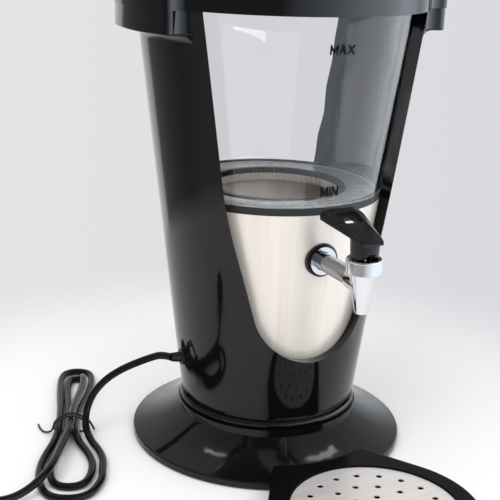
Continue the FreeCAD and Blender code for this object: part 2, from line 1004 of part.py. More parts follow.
def terminal_block():
    corner = V(block_x - block_width / 2, block_y - block_length / 2, step_top)
    body = Part.makeBox(block_width, block_length, block_height, corner)
    ways = []
    for i in (-1, 0, 1):
        start = V(corner.x - 1, block_y + block_way_pitch * i, step_top + block_height / 2)
        ways.append(rod(block_way_radius, start, X, block_width + 2))
    return body.cut(group(ways))


def tube_along(points, radius):
    # Straight runs joined by tangent arcs, each arc as large as its two runs allow.
    edges = []
    radii = []
    here = points[0]
    for i in range(1, len(points) - 1):
        before = points[i] - points[i - 1]
        after = points[i + 1] - points[i]
        short = min(before.Length, after.Length)
        reach = 0.45 * short
        d1 = V(before)
        d1.normalize()
        d2 = V(after)
        d2.normalize()
        turn = math.acos(max(-1.0, min(1.0, d1.dot(d2))))
        radii.append(reach / math.tan(turn / 2))
        start = points[i] - d1 * reach
        end = points[i] + d2 * reach
        inward = d2 - d1
        inward.normalize()
        centre = points[i] + inward * (radii[-1] / math.cos(turn / 2))
        middle = centre - inward * radii[-1]
        edges.append(line(here, start))
        edges.append(arc_through(start, middle, end))
        here = end
    edges.append(line(here, points[-1]))
    path = Part.Wire(edges)
    direction = points[1] - points[0]
    section = Part.Wire(Part.makeCircle(radius, points[0], direction))
    tube = path.makePipeShell([section], True, False)
    return tube, radii, path.Length


def wire_run(points):
    return tube_along(points, wire_radius)[0]


def block_way(i):
    return V(block_x + block_width / 2, block_y + block_way_pitch * i, step_top + block_height / 2)


def internal_wires():
    back = thermostat_front() - thermostat_depth - spade_length
    tab = heater_bottom - cutout_height - spade_length
    lamp_back = lamp_place(lamp_inner() - lamp_length)
    lamp_axis = outward(lamp_angle)
    post = heater_tab(-1) - Z * terminal_length
    rise = Z * wire_rise
    lead = X * wire_lead
    to_cutout = [block_way(0), block_way(0) + lead + Y + rise * 0.7]
    to_cutout += [V(-cutout_tab, -2, tab - wire_lead), V(-cutout_tab, 0, tab)]
    to_lamp = [block_way(1), block_way(1) + (lead + Y * wire_rise * 1.8) * 1.6 + rise]
    to_lamp += [lamp_back - lamp_axis * 3.1 * wire_lead - Z * 1.8 * wire_lead]
    to_lamp += [lamp_back - lamp_axis * wire_lead - Z * 0.4 * wire_lead, lamp_back]
    to_heater = [block_way(-1), block_way(-1) + lead * 0.8 - Y * wire_rise * 1.7 + rise]
    to_heater += [post - Z * 1.2 * wire_lead + Y, post]
    to_thermostat = [V(-spade_length, back, control_height)]
    to_thermostat += [V(-spade_length - 1, back - wire_lead, control_height - wire_lead)]
    to_thermostat += [V(-2, 18, control_height - 2 * wire_lead)]
    to_thermostat += [V(cutout_tab, 3, tab - wire_lead), V(cutout_tab, 0, tab)]
    return group([wire_run(points) for points in (to_cutout, to_lamp, to_heater, to_thermostat)])


# Cord: lead, hank, tie, tail and plug

def gland_exit():
    return polar(shell_radius(gland_height), gland_angle, gland_height)


def hank_point(s, w, z):
    a = math.radians(hank_turn)
    x = hank_x + s * math.sin(a) + w * math.cos(a)
    y = hank_y + s * math.cos(a) - w * math.sin(a)
    return V(x, y, z)


def hank_direction(s, w):
    return hank_point(s, w, 0.0) - hank_point(0.0, 0.0, 0.0)


def hank_stations():
    # Where the cord goes straight along or across the hank, with its direction there.
    stations = []
    floor = cord_radius
    tied = cord_radius + hank_lift
    down = hank_direction(-1, 0)
    up = hank_direction(1, 0)
    left = hank_direction(0, -1)
    right = hank_direction(0, 1)
    for turn in range(hank_turns):
        last = turn == hank_turns - 1
        side = hank_pitch * (hank_turns - 0.5 - turn)
        half = big_half_width - turn * big_width_step
        length = big_length - turn * big_length_step
        if turn > 0:
            stations.append((hank_point(0, hank_middle + side, tied), down))
        widest = big_fold * half - length
        stations.append((hank_point(widest, big_middle + half, floor), down))
        stations.append((hank_point(-length, big_middle, floor), left))
        stations.append((hank_point(widest, big_middle - half, floor), up))
        stations.append((hank_point(0, hank_middle - side, tied), up))
        half = small_half_width - turn * small_width_step
        length = small_length - turn * small_length_step
        climb = climb_start if last else 0.0
        stations.append((hank_point(length - half, -half, floor), up))
        stations.append((hank_point(length, 0, floor), right))
        stations.append((hank_point(length - half, half, floor + climb), down))
    stations.append((hank_point(0, hank_middle, tied + hank_pitch), down))
    return stations


def biarc(p1, d1, p2, d2):
    # Two arcs that leave p1 along d1, meet smoothly and reach p2 along d2.
    span = p2 - p1
    a = 2 * (1 - d1.dot(d2))
    b = 2 * span.dot(d1 + d2)
    c = -span.dot(span)
    if abs(a) < 1e-9:
        reach = -c / b
    else:
        reach = (-b + math.sqrt(b * b - 4 * a * c)) / (2 * a)
    q1 = p1 + d1 * reach
    q2 = p2 - d2 * reach
    return p1, q1, (q1 + q2) * 0.5, q2, p2


def bend(start, knee, end):
    # The arc from start to end that is tangent to both lines through the knee.
    first = knee - start
    second = end - knee
    first.normalize()
    second.normalize()
    half = math.acos(max(-1.0, min(1.0, first.dot(second)))) / 2
    inward = second - first
    inward.normalize()
    radius = (knee - start).Length / math.tan(half)
    middle = knee + inward * (radius / math.cos(half) - radius)
    return middle, radius


def cord_hank():
    stations = hank_stations()
    edges = []
    radii = []
    samples = []
    for i in range(len(stations) - 1):
        p1, d1 = stations[i]
        p2, d2 = stations[i + 1]
        p1, q1, joint, q2, p2 = biarc(p1, d1, p2, d2)
        for start, knee, end in ((p1, q1, joint), (joint, q2, p2)):
            middle, radius = bend(start, knee, end)
            radii.append(radius)
            arc = arc_through(start, middle, end)
            samples += arc.discretize(24)[:-1]
            edges.append(arc)
    path = Part.Wire(edges)
    section = Part.Wire(Part.makeCircle(cord_radius, stations[0][0], stations[0][1]))
    tube = path.makePipeShell([section], True, False)
    print("hank radii", [round(r, 1) for r in radii])
    print("hank least gap to itself", round(least_gap(samples), 2))
    report_tube("hank", tube, path.Length)
    return tube


def least_gap(points):
    gap = 1e9
    travelled = [0.0]
    for i in range(1, len(points)):
        travelled.append(travelled[-1] + (points[i] - points[i - 1]).Length)
    for i in range(len(points)):
        for j in range(i + 1, len(points)):
            if travelled[j] - travelled[i] > 3.6 * cord_diameter:
                gap = min(gap, (points[i] - points[j]).Length - cord_diameter)
    return gap


def report_tube(name, tube, length):
    expected = math.pi * cord_radius ** 2 * length
    ratio = round(tube.Volume / expected, 4)
    print(name, "length", round(length, 1), "volume over section times length", ratio)


def cord_lead():
    points = lead_route + [hank_stations()[0][0]]
    tube, radii, length = tube_along(points, cord_radius)
    print("lead radii", [round(r, 1) for r in radii])
    report_tube("lead", tube, length)
    return tube


def cord_tail():
    points = [hank_stations()[-1][0]] + tail_route + [plug_start()]
    tube, radii, length = tube_along(points, cord_radius)
    print("tail radii", [round(r, 1) for r in radii])
    report_tube("tail", tube, length)
    return tube


def cord_gland():
    # Flange on the wall, collar through it and a tapered boot that leans back along the cord.
    axis = outward(gland_angle)
    out = gland_exit()
    knee = out + axis * gland_knee
    along = lead_route[0] - knee
    inset = wall + gland_inset
    flange = rod(gland_flange_radius, out - axis, axis, gland_flange + 1.0)
    flange = flange.cut(cone_solid(shell_radius, flange_top, shell_top, seat_gap))
    neck = rod(gland_boot_start, out - axis * inset, axis, inset + gland_knee)
    ball = Part.makeSphere(gland_boot_start, knee)
    boot = Part.makeCone(gland_boot_start, gland_boot_end, along.Length, knee, along)
    nut = rod(gland_flange_radius, out - axis * inset, axis, gland_nut)
    return fuse([flange, neck, ball, boot, nut])


def plug_direction():
    # The plug lies on its rim, so it leans up from the cord's last run.
    last = tail_route[-1] - tail_route[-2]
    flat = V(last.x, last.y, 0)
    flat.normalize()
    tilt = math.radians(plug_lean)
    return flat * math.cos(tilt) + Z * math.sin(tilt)


def plug_start():
    return tail_route[-1] + plug_direction() * plug_lead


def plug_body():
    grip_end = plug_neck_length + plug_grip_length
    profile = [
        (0.0, 0.0),
        (plug_neck_radius - 0.8, 0.0),
        (plug_neck_radius, plug_neck_length),
        (plug_face_radius - 3.5, grip_end - 3.0, 1.0),
        (plug_face_radius, grip_end + 2.0),
        (plug_face_radius, plug_length),
        (0.0, plug_length),
    ]
    body = revolve(profile)
    for i in range(plug_ribs):
        low = 3.0 + plug_rib_pitch * i
        body = body.cut(ring(plug_neck_radius - 1.4, plug_neck_radius + 3, low, low + plug_rib_gap))
    body = body.cut(plain_pins())
    for side in (-1, 1):
        groove = V(-2.5, side * (plug_face_radius - 1.0) - 2.2, grip_end + 4)
        body = body.cut(Part.makeBox(5.0, 4.4, plug_face_length, groove))
    return place_plug(body)


def plain_pins():
    # The two pins before they are turned into place, each with a thicker root inside the plug.
    end = plug_length + mains_pin_length
    pins = []
    for side in (-1, 1):
        start = V(side * mains_pin_spacing / 2, 0, plug_length)
        pin = rod(mains_pin_radius, start, Z, mains_pin_length)
        pin = round_edges(pin, mains_pin_tip, lambda e: e.BoundBox.ZMin > end - 0.1)
        root = rod(mains_pin_root_radius, start - Z * mains_pin_root, Z, mains_pin_root)
        pins.append(fuse([pin, root]))
    return group(pins)


def place_plug(shape):
    placed = shape.copy()
    placed.Placement = FreeCAD.Placement(plug_start(), FreeCAD.Rotation(Z, plug_direction()))
    return placed


def plug_pins():
    return place_plug(plain_pins())


def cord_tie():
    # A wire wound one and a half times round the waist, with two free ends.
    half = hank_pitch * 1.5 + cord_radius + tie_wire + 0.4
    low = tie_wire + 0.1
    top = 2 * cord_radius + hank_lift + tie_wire + 0.5
    peak = top + hank_pitch
    mid = hank_middle
    route = [
        (15.0, -31.5, 1.3),
        (6.0, -29.5, 1.3),
        (-3.0, -24.0, 1.6),
        (-5.5, mid - half - 1.0, 4.0),
        (-4.5, mid - half + 0.6, top + 0.5),
        (-3.4, mid - 4.0, peak),
        (-2.6, mid + 4.0, peak),
        (-1.8, mid + half - 0.6, top + 0.5),
        (-1.2, mid + half, low + 3.0),
        (-0.6, mid + half - 3.0, low),
        (0.2, mid - half + 3.0, low),
        (0.8, mid - half, low + 3.0),
        (1.6, mid - half + 0.6, top + 0.5),
        (2.4, mid - 4.0, peak),
        (3.2, mid + 4.0, peak),
        (4.0, mid + half - 0.6, top + 0.5),
        (5.5, mid + half + 2.0, 6.0),
        (2.5, mid + half + 5.0, 1.5),
    ]
    points = [hank_point(s, w, z) for s, w, z in route]
    return tube_along(points, tie_wire)[0]


# Collar, lid and steam plate

def ear_block(low, high, offset):
    block = ear_outline(ear_radius, collar_radius, low, collar_bore, offset).extrude(V(0, 0, high - low))
    return [block, mirrored(block)]


def collar():
    low = shell_top
    high = collar_top
    blocks = [disc(collar_radius, low, high)] + ear_block(low, high, 0.0)
    body = fuse(blocks)

    def top_rim(edge):
        return edge.BoundBox.ZMin > high - 0.01

    body = round_edges(body, collar_edge, top_rim)
    pocket = [disc(collar_radius - wall, low, high - wall)] + ear_block(low, high - wall, wall)
    body = body.cut(fuse(pocket))
    rib = ring(collar_bore, collar_bore + 2.0, high - 15.0, high - wall)
    bosses = [rod(post_radius, V(p.x, p.y, low), Z, high - wall - low) for p in ear_screw_places()]
    body = fuse([body, rib] + bosses)
    body = body.cut(disc(collar_throat, low, high + 1))
    for p in ear_screw_places():
        body = body.cut(rod(screw_radius, V(p.x, p.y, low), Z, screw_bite))
    return body


def collar_screws():
    length = lug_depth - screw_head + screw_bite - 0.5
    return group([screw(V(p.x, p.y, lug_bottom + screw_head), Z, length) for p in ear_screw_places()])


def collar_seal():
    low = glass_top
    return ring(glass_top_radius - glass_wall - 0.5, glass_top_radius + 0.8, low, low + collar_seal_height)


def lid():
    skirt_inner = lid_skirt_radius - lid_skirt_wall
    ledge = lid_opening + lid_shelf
    profile = [
        (lid_edge_radius, collar_top),
        (lid_edge_radius, collar_top + 2.0, 0.8),
        (lid_edge_radius - 2.0, collar_top + 4.0, lid_dome),
        (lid_seat_radius + 4.0, lid_top - 1.0, -0.4),
        (lid_seat_radius, lid_top),
        (ledge, lid_top),
        (ledge, plate_bottom),
        (lid_opening, plate_bottom),
        (lid_opening, plate_bottom - lid_thickness),
        (lid_seat_radius + 2.0, plate_bottom - lid_thickness, -lid_dome),
        (skirt_inner, collar_top + 1.0),
        (skirt_inner, collar_top - lid_skirt),
        (lid_skirt_radius, collar_top - lid_skirt),
        (lid_skirt_radius, collar_top),
    ]
    return revolve(profile)


def lid_seal():
    low = collar_top - lid_seal_drop
    return ring(lid_skirt_radius, lid_skirt_radius + seal_reach, low, low + lid_seal_height)


def steam_plate():
    body = disc(lid_opening + lid_shelf - plate_play, plate_bottom, plate_bottom + plate_thickness)
    holes = []
    for i in range(plate_hole_count):
        p = polar(plate_hole_circle, 360 / plate_hole_count * i, plate_bottom)
        holes.append(rod(plate_hole_radius, p, Z, plate_thickness))
    holes.append(rod(knob_stem_radius, V(0, 0, plate_bottom), Z, plate_thickness))
    return body.cut(group(holes))


def plate_knob():
    # A stem through the plate with a nut below it and a mushroom knob above.
    low = plate_bottom + plate_thickness
    high = low + plate_knob_height
    nut_radius = 2 * knob_stem_radius
    profile = [
        (0.0, plate_bottom - plate_knob_nut),
        (nut_radius, plate_bottom - plate_knob_nut),
        (nut_radius, plate_bottom),
        (knob_stem_radius, plate_bottom),
        (knob_stem_radius, low),
        (plate_knob_radius * 0.6, low),
        (plate_knob_radius * 0.55, low + plate_knob_height * 0.45, -1.0),
        (plate_knob_radius, high - 4.0),
        (plate_knob_radius - 1.0, high - 1.5),
        (plate_knob_radius - 3.5, high),
        (0.0, high),
    ]
    return revolve(profile)


# Tap

def tap_wall_y():
    # Front of the steel wall at the tap's height
    return -tank_radius(tap_height)


def wall_front(distance):
    # The region in front of the tank's wall, moved out by a distance, near the tap.
    block = rod(2 * gasket_radius, V(0, -2 * gasket_radius, tap_height), -Y, tap_reach)
    return block.cut(cone_solid(tank_radius, tank_bottom, steel_top, distance))


def stem_way():
    # The hole that the seals and the escutcheon have for the stem
    return rod(stem_radius + fit_gap, V(0, 0, tap_height), -Y, tap_reach)


def tap_gasket_outer():
    start = tap_wall_y() + 6.0
    end = tap_wall_y() - tap_gasket_thickness
    body = rod(gasket_radius, V(0, start, tap_height), -Y, start - end)
    body = body.common(wall_front(seat_gap))
    return body.cut(stem_way())


def tap_escutcheon():
    start = tap_wall_y() - tap_gasket_thickness
    front = escutcheon_radius - 1.0
    body = Part.makeCone(escutcheon_radius, front, escutcheon_thickness, V(0, start, tap_height), -Y)
    return body.cut(stem_way())


def stem_inner_y():
    return tap_wall_y() + washer_thickness + nut_height + 7.0


def stem_end_y():
    return tap_y + socket_radius - 1.0


def tap_stem():
    inner = stem_inner_y()
    end = stem_end_y()
    body = rod(stem_radius, V(0, inner, tap_height), -Y, inner - end)
    grooves = []
    front = tap_wall_y() - tap_gasket_thickness - escutcheon_thickness - 1.0
    last = tap_y + socket_length + 1.0
    count = int((front - last) / thread_pitch)
    for i in range(count):
        y = front - thread_pitch * (i + 0.5)
        outer = rod(stem_radius + 1, V(0, y, tap_height), -Y, thread_pitch / 2)
        core = rod(stem_radius - thread_depth, V(0, y, tap_height), -Y, thread_pitch / 2)
        grooves.append(outer.cut(core))
    body = body.cut(group(grooves))
    return body.cut(rod(stem_bore, V(0, inner + 1, tap_height), -Y, inner - end + 2))


def tap_gasket_inner():
    inside = cone_solid(tank_radius, tank_bottom, steel_top, -tank_sheet - seat_gap)
    start = tap_wall_y() + washer_thickness + tank_sheet
    body = rod(gasket_radius - 1.0, V(0, start, tap_height), -Y, 12)
    body = body.common(inside)
    return body.cut(stem_way())


def tap_nut():
    start = tap_wall_y() + washer_thickness + tank_sheet
    corners = []
    radius = nut_across / math.sqrt(3)
    for i in range(7):
        a = math.radians(60 * i)
        corners.append(V(radius * math.cos(a), start, tap_height + radius * math.sin(a)))
    face = Part.Face(Part.makePolygon(corners))
    body = face.extrude(V(0, nut_height, 0))
    return body.cut(stem_way())


def tap_body():
    low = spout_tip
    profile = [
        (0.0, low),
        (spout_radius, low),
        (cone_radius, cone_top),
        (head_radius, cone_top + head_drop - 1.0),
        (head_radius, head_top),
        (0.0, head_top),
    ]
    body = revolve(profile)
    body.translate(V(0, tap_y, 0))
    socket = rod(socket_radius, V(0, tap_y, tap_height), Y, socket_length)
    body = fuse([body, socket])
    through = head_top - low
    body = body.cut(rod(spout_bore, V(0, tap_y, low - 1), Z, chamber_floor - low + 2.0))
    body = body.cut(rod(chamber_radius, V(0, tap_y, chamber_floor), Z, through))
    body = body.cut(rod(stem_radius + plug_fit, V(0, stem_end_y(), tap_height), Y, through))
    return body.cut(rod(stem_bore, V(0, tap_y, tap_height), Y, through))


def tap_bonnet():
    low = head_top
    profile = [
        (rod_radius + rod_fit, low - bonnet_plug_depth),
        (chamber_radius - plug_fit, low - bonnet_plug_depth),
        (chamber_radius - plug_fit, low),
        (head_radius, low),
        (head_radius, bonnet_top - bonnet_edge),
        (head_radius - bonnet_edge, bonnet_top),
        (rod_radius + rod_fit, bonnet_top),
    ]
    body = revolve(profile)
    body.translate(V(0, tap_y, 0))
    return body


def valve_rod():
    low = seal_top - seal_thickness * 0.5
    high = pin_height + rod_head
    stem = rod(rod_radius, V(0, tap_y, low), Z, high - low)
    washer = rod(spring_radius + spring_wire, V(0, tap_y, seal_top), Z, 1.2)
    body = fuse([stem, washer])
    return body.cut(rod(pin_radius, V(-10, tap_y, pin_height), X, 20))


def valve_seal():
    body = rod(seal_radius, V(0, tap_y, chamber_floor + 0.02), Z, seal_thickness - 0.02)
    return body.cut(rod(rod_radius, V(0, tap_y, seal_top - seal_thickness * 0.5), Z, 10))


def valve_spring():
    low = seal_top + 1.2 + spring_wire / 2 + 0.05
    high = head_top - bonnet_plug_depth - spring_wire / 2 - 0.05
    height = high - low
    helix = Part.makeHelix(height / spring_turns, height, spring_radius)
    section = Part.Wire(Part.makeCircle(spring_wire / 2, V(spring_radius, 0, 0), Y))
    coil = Part.Wire(helix).makePipeShell([section], True, True)
    coil.translate(V(0, tap_y, low))
    return coil


def lever_pin():
    reach = lever_hub_radius - 2.4
    return rod(pin_radius, V(-reach, tap_y, pin_height), X, 2 * reach)


def yz(y, z):
    # A place in the lever's side view, measured from the pin.
    return V(0, tap_y + y, pin_height + z)


def cam_point(angle):
    # The cam touches the bonnet at a height that grows evenly with the angle it is turned by.
    reach = lever_heel - lever_play + lever_lift * angle / math.radians(lever_open_angle)
    slide = lever_lift / math.radians(lever_open_angle)
    down = math.radians(-90) - angle
    y = reach * math.cos(down) + slide * math.sin(down)
    z = reach * math.sin(down) - slide * math.cos(down)
    return yz(y, z)


def lever_slope():
    return (lever_tip_rise - lever_front_rise) / (lever_tip_reach - 3.0 + lever_front)


def lever_top(y):
    # Height of the paddle's top plane over the pin
    return lever_front_rise + lever_slope() * (y + lever_front)


def tap_lever():
    body = fuse([lever_paddle(), lever_hub()])
    body = body.cut(rod_pocket())
    bore_start = -lever_hub_radius + 2.3
    return body.cut(rod(pin_radius + rod_fit, V(bore_start, tap_y, pin_height), X, 2 * lever_hub_radius))


def lever_hub():
    # A tapered barrel, flat at the heel; the face over the cam lies along the bonnet when fully open.
    full = math.radians(lever_open_angle)
    heel = cam_point(0.0)
    lobe = cam_point(full)
    out = lever_hub_radius + 1.4
    lift = (out + lobe.y - tap_y) * math.tan(full)
    middle = lever_front_thickness / 2
    corner = V(0, tap_y - out, lobe.z + lift)
    front = yz(-out, lever_top(-out) - middle)
    rear = yz(out, lever_top(out) - middle)
    back = V(0, tap_y + out, heel.z)
    edges = [
        line(back, heel),
        arc_through(heel, cam_point(full / 2), lobe),
        line(lobe, corner),
        line(corner, front),
        line(front, rear),
        line(rear, back),
    ]
    body = Part.Face(Part.Wire(edges)).extrude(V(2 * out, 0, 0))
    body.translate(V(-out, 0, 0))
    low = bonnet_top
    height = lever_heel + lever_top(out)
    narrow = lever_hub_radius - lever_hub_taper
    return body.common(Part.makeCone(narrow, lever_hub_radius + 0.3, height, V(0, tap_y, low)))


def lever_paddle():
    # Side profile cut by the plan and by the roof, then hollowed for the finger
    tip_y = lever_tip_reach
    tip_z = lever_tip_rise
    start = -lever_front - 1.0
    root = lever_top(start) - lever_front_thickness
    edges = [
        line(yz(start, root), yz(start, lever_top(start) - 1.2)),
        line(yz(start, lever_top(start) - 1.2), yz(-lever_front, lever_top(-lever_front))),
        line(yz(-lever_front, lever_top(-lever_front)), yz(tip_y - 3.0, tip_z)),
        arc_through(yz(tip_y - 3.0, tip_z), yz(tip_y - 0.6, tip_z - 0.9), yz(tip_y, tip_z - 3.0)),
        line(yz(tip_y, tip_z - 3.0), yz(tip_y - 1.5, tip_z - lever_tip_thickness)),
        line(yz(tip_y - 1.5, tip_z - lever_tip_thickness), yz(0, lever_top(0) - lever_front_thickness)),
        line(yz(0, lever_top(0) - lever_front_thickness), yz(start, root)),
    ]
    face = Part.Face(Part.Wire(edges))
    body = face.extrude(V(2 * lever_tip_half_width, 0, 0))
    body.translate(V(-lever_tip_half_width, 0, 0))
    body = body.common(lever_plan())
    body = body.common(lever_roof())
    return body.cut(lever_recess()).cut(lever_hole())


def along_paddle(shape):
    # Tilts a shape drawn over the front edge, with its zero in the top plane, to the paddle's slope
    shape.rotate(O, X, math.degrees(math.atan(lever_slope())))
    shape.translate(yz(-lever_front, lever_top(-lever_front)))
    return shape


def lever_roof():
    # A flat strip along the top with wings that fall away to each side
    outer = lever_tip_half_width + 1.0
    fall = lever_wing_drop * (outer - lever_strip_half_width) / (lever_tip_half_width - lever_strip_half_width)
    start = -10.0
    corners = [V(-lever_strip_half_width, start, 0), V(lever_strip_half_width, start, 0)]
    corners += [V(outer, start, -fall), V(outer, start, -60), V(-outer, start, -60), V(-outer, start, -fall)]
    face = Part.Face(Part.makePolygon(corners + corners[:1]))
    return along_paddle(face.extrude(V(0, 2 * lever_tip_reach, 0)))


def lever_recess():
    # The finger's recess in the outer half of the strip
    start = lever_front + lever_recess_start
    end = lever_front + lever_tip_reach - lever_recess_rim
    near = lever_strip_half_width - 2.0
    far = lever_strip_half_width - 0.4
    low = -lever_recess_depth
    corners = [V(-near, start, low), V(near, start, low), V(far, end, low), V(-far, end, low)]
    face = Part.Face(Part.makePolygon(corners + corners[:1]))
    block = face.extrude(V(0, 0, 20))
    block = round_edges(block, 3.0, lambda e: e.BoundBox.ZLength > 19)
    return along_paddle(block)


def lever_hole():
    # A slot through the floor of the recess, at its front end
    side = lever_hole_half_width
    block = Part.makeBox(2 * side, lever_hole_length, 30, V(-side, lever_front + lever_hole_start, -20))
    block = round_edges(block, 1.2, lambda e: e.BoundBox.ZLength > 29)
    return along_paddle(block)


def lever_plan():
    w0 = lever_front_half_width
    w1 = lever_tip_half_width
    front = tap_y - lever_front - 1.0
    tip = tap_y + lever_tip_reach
    low = pin_height - 20
    bow = 2.0
    edges = [
        line(V(-w0, front, low), V(w0, front, low)),
        line(V(w0, front, low), V(w1, tip - 6, low)),
        arc_through(V(w1, tip - 6, low), V(w1 - 1.5, tip - 1.5, low), V(w1 - 6, tip, low)),
        arc_through(V(w1 - 6, tip, low), V(0, tip + bow, low), V(-w1 + 6, tip, low)),
        arc_through(V(-w1 + 6, tip, low), V(-w1 + 1.5, tip - 1.5, low), V(-w1, tip - 6, low)),
        line(V(-w1, tip - 6, low), V(-w0, front, low)),
    ]
    return Part.Face(Part.Wire(edges)).extrude(V(0, 0, 60))


def rod_pocket():
    # Room for the rod's head in the hub, over the whole travel of the lever.
    side = rod_radius + lever_slot_gap
    head = math.hypot(rod_radius, rod_head) + lever_slot_gap
    pocket = rod(head, V(-side, tap_y, pin_height), X, 2 * side)
    steps = 5
    for i in range(steps):
        slot = Part.makeBox(2 * side, 2 * side, 16, V(-side, tap_y - side, pin_height - 16))
        slot.rotate(V(0, tap_y, pin_height), X, -lever_open_angle * i / (steps - 1))
        pocket = pocket.fuse(slot)
    return pocket


# Drip tray

def tray_face(grow, z):
    radius = tray_radius + grow
    rear = tray_rear_radius - grow
    centre = V(0, -tray_reach, z)
    horn = V(tray_horn_x + grow * 0.9, -tray_horn_y, z)
    away = horn - centre
    distance = away.Length
    swing = math.acos(radius / distance)
    heading = math.atan2(away.y, away.x) - swing
    touch = centre + V(radius * math.cos(heading), radius * math.sin(heading), 0)
    mirror_touch = V(-touch.x, touch.y, z)
    front = V(0, -tray_reach - radius, z)
    rear_angle = math.asin((tray_horn_x - 4 + grow * 0.9) / rear)
    inner = V(rear * math.sin(rear_angle), -rear * math.cos(rear_angle), z)
    mirror_inner = V(-inner.x, inner.y, z)
    mirror_horn = V(-horn.x, horn.y, z)
    edges = [
        arc_through(touch, front, mirror_touch),
        line(mirror_touch, mirror_horn),
        line(mirror_horn, mirror_inner),
        arc_through(mirror_inner, V(0, -rear, z), inner),
        line(inner, horn),
        line(horn, touch),
    ]
    return Part.Face(Part.Wire(edges))


def base_envelope(gap):
    profile = [(0.0, -1.0), (base_radius + gap, -1.0), (base_radius + gap, rim_top + gap)]
    profile += [(flare_top_radius + gap, flare_top + gap), (0.0, flare_top + gap)]
    return revolve(profile)


def drip_tray():
    body = tray_face(0.0, 0.0).extrude(V(0, 0, tray_height))

    def top_rim(edge):
        return edge.BoundBox.ZMin > tray_height - 0.01

    body = round_edges(body, tray_edge, top_rim)
    body = body.cut(base_envelope(tray_clearance))
    seat = grille_radius + grille_play
    basin = seat - grille_ledge
    bottom = tray_deck - grille_thickness
    centre = V(0, -tray_reach, 0)
    body = body.cut(rod(seat, centre + Z * bottom, Z, tray_height))
    return body.cut(rod(basin, centre + Z * tray_floor, Z, tray_height))


def drip_grille():
    low = tray_deck - grille_thickness
    centre = V(0, -tray_reach, low)
    body = rod(grille_radius, centre, Z, grille_thickness)
    holes = []
    for radius, count in zip(grille_ring_radii, grille_ring_counts):
        for i in range(count):
            a = math.radians(grille_phase + 360 / count * i)
            p = centre + V(radius * math.cos(a), radius * math.sin(a), -1)
            holes.append(rod(grille_hole_radius, p, Z, grille_thickness + 2))
    return body.cut(group(holes))


makers = [
    base_skirt, base_cover, rubber_feet, cover_screws, bead_ring, shell_screws, body_shell,
    steel_tank, tank_gasket, glass_seal, glass_tank, clamp_ring, lock_ring, tank_support,
    heater_plate, heater_tube, heater_terminals, thermal_cutout, thermostat_sensor,
    thermostat_body, thermostat_shaft, thermostat_knob, indicator_lens, lamp_body,
    terminal_block, internal_wires, cord_gland,
    cord_lead, cord_hank, cord_tail, cord_tie, plug_body, plug_pins,
    collar, collar_screws, collar_seal, lid, lid_seal, steam_plate, plate_knob,
    tap_gasket_outer, tap_escutcheon, tap_stem, tap_gasket_inner, tap_nut, tap_body, tap_bonnet,
    valve_rod, valve_seal, valve_spring, lever_pin, tap_lever, drip_tray, drip_grille,
]

os.makedirs("parts", exist_ok=True)
for maker in makers:
    save(maker.__name__, maker())
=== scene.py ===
import math

import bmesh
import bpy
from mathutils import Matrix, Vector


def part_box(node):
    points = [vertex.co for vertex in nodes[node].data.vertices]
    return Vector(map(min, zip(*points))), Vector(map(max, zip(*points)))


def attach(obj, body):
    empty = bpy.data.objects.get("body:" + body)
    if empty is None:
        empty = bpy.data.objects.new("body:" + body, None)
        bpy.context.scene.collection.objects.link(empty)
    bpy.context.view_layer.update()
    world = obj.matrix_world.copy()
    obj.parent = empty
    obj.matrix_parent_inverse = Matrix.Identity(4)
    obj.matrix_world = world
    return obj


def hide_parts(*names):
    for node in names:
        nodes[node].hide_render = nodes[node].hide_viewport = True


# Electric samovar. Metres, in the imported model's frame: the tank's axis is Z and the tap faces -Y.

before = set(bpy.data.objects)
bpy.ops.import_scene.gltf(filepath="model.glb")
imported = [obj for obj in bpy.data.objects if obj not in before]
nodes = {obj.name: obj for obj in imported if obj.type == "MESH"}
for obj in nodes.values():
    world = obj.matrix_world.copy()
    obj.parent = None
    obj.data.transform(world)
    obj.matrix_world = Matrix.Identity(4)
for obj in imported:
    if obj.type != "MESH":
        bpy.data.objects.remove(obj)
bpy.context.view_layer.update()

# Camera
IMAGE = 500
FOCAL_PIXELS = 1097.42
SENSOR = 36.0
CAMERA_AT = Vector((-0.4571, -0.8781, 0.4850))
CAMERA_HEADING = math.radians(26.31)
CAMERA_DOWN = math.radians(17.07)
CAMERA_ROLL = math.radians(1.83)

# Shell and tank, as cones
SHELL_BOTTOM = 0.0476
SHELL_RADIUS = 0.0833
SHELL_TAPER = 0.1249
TANK_INSET = 0.010

# Cord
CORD_DIAMETER = 0.007
LEAD = [
    (-0.0985, 0.0055, 0.0858), (-0.1046, 0.0146, 0.0859), (-0.1125, 0.0230, 0.0808),
    (-0.1230, 0.0315, 0.0740), (-0.1360, 0.0410, 0.0650), (-0.1495, 0.0485, 0.0535),
    (-0.1610, 0.0515, 0.0395), (-0.1688, 0.0485, 0.0245), (-0.1723, 0.0395, 0.0115),
    (-0.1715, 0.0240, 0.0042), (-0.1698, 0.0060, 0.0035), (-0.1720, -0.0130, 0.0035),
    (-0.17935, -0.0327, 0.0035),
]
TAIL = [
    (-0.1863, 0.0423, 0.0139), (-0.1991, 0.0192, 0.0142), (-0.2125, -0.0057, 0.0146),
    (-0.2248, -0.0278, 0.0150), (-0.2384, -0.0430, 0.0130), (-0.2539, -0.0501, 0.0075),
    (-0.2709, -0.0556, 0.0062),
]
PLUG_LEAN = math.radians(16.0)
PLUG_LEAD = 0.012

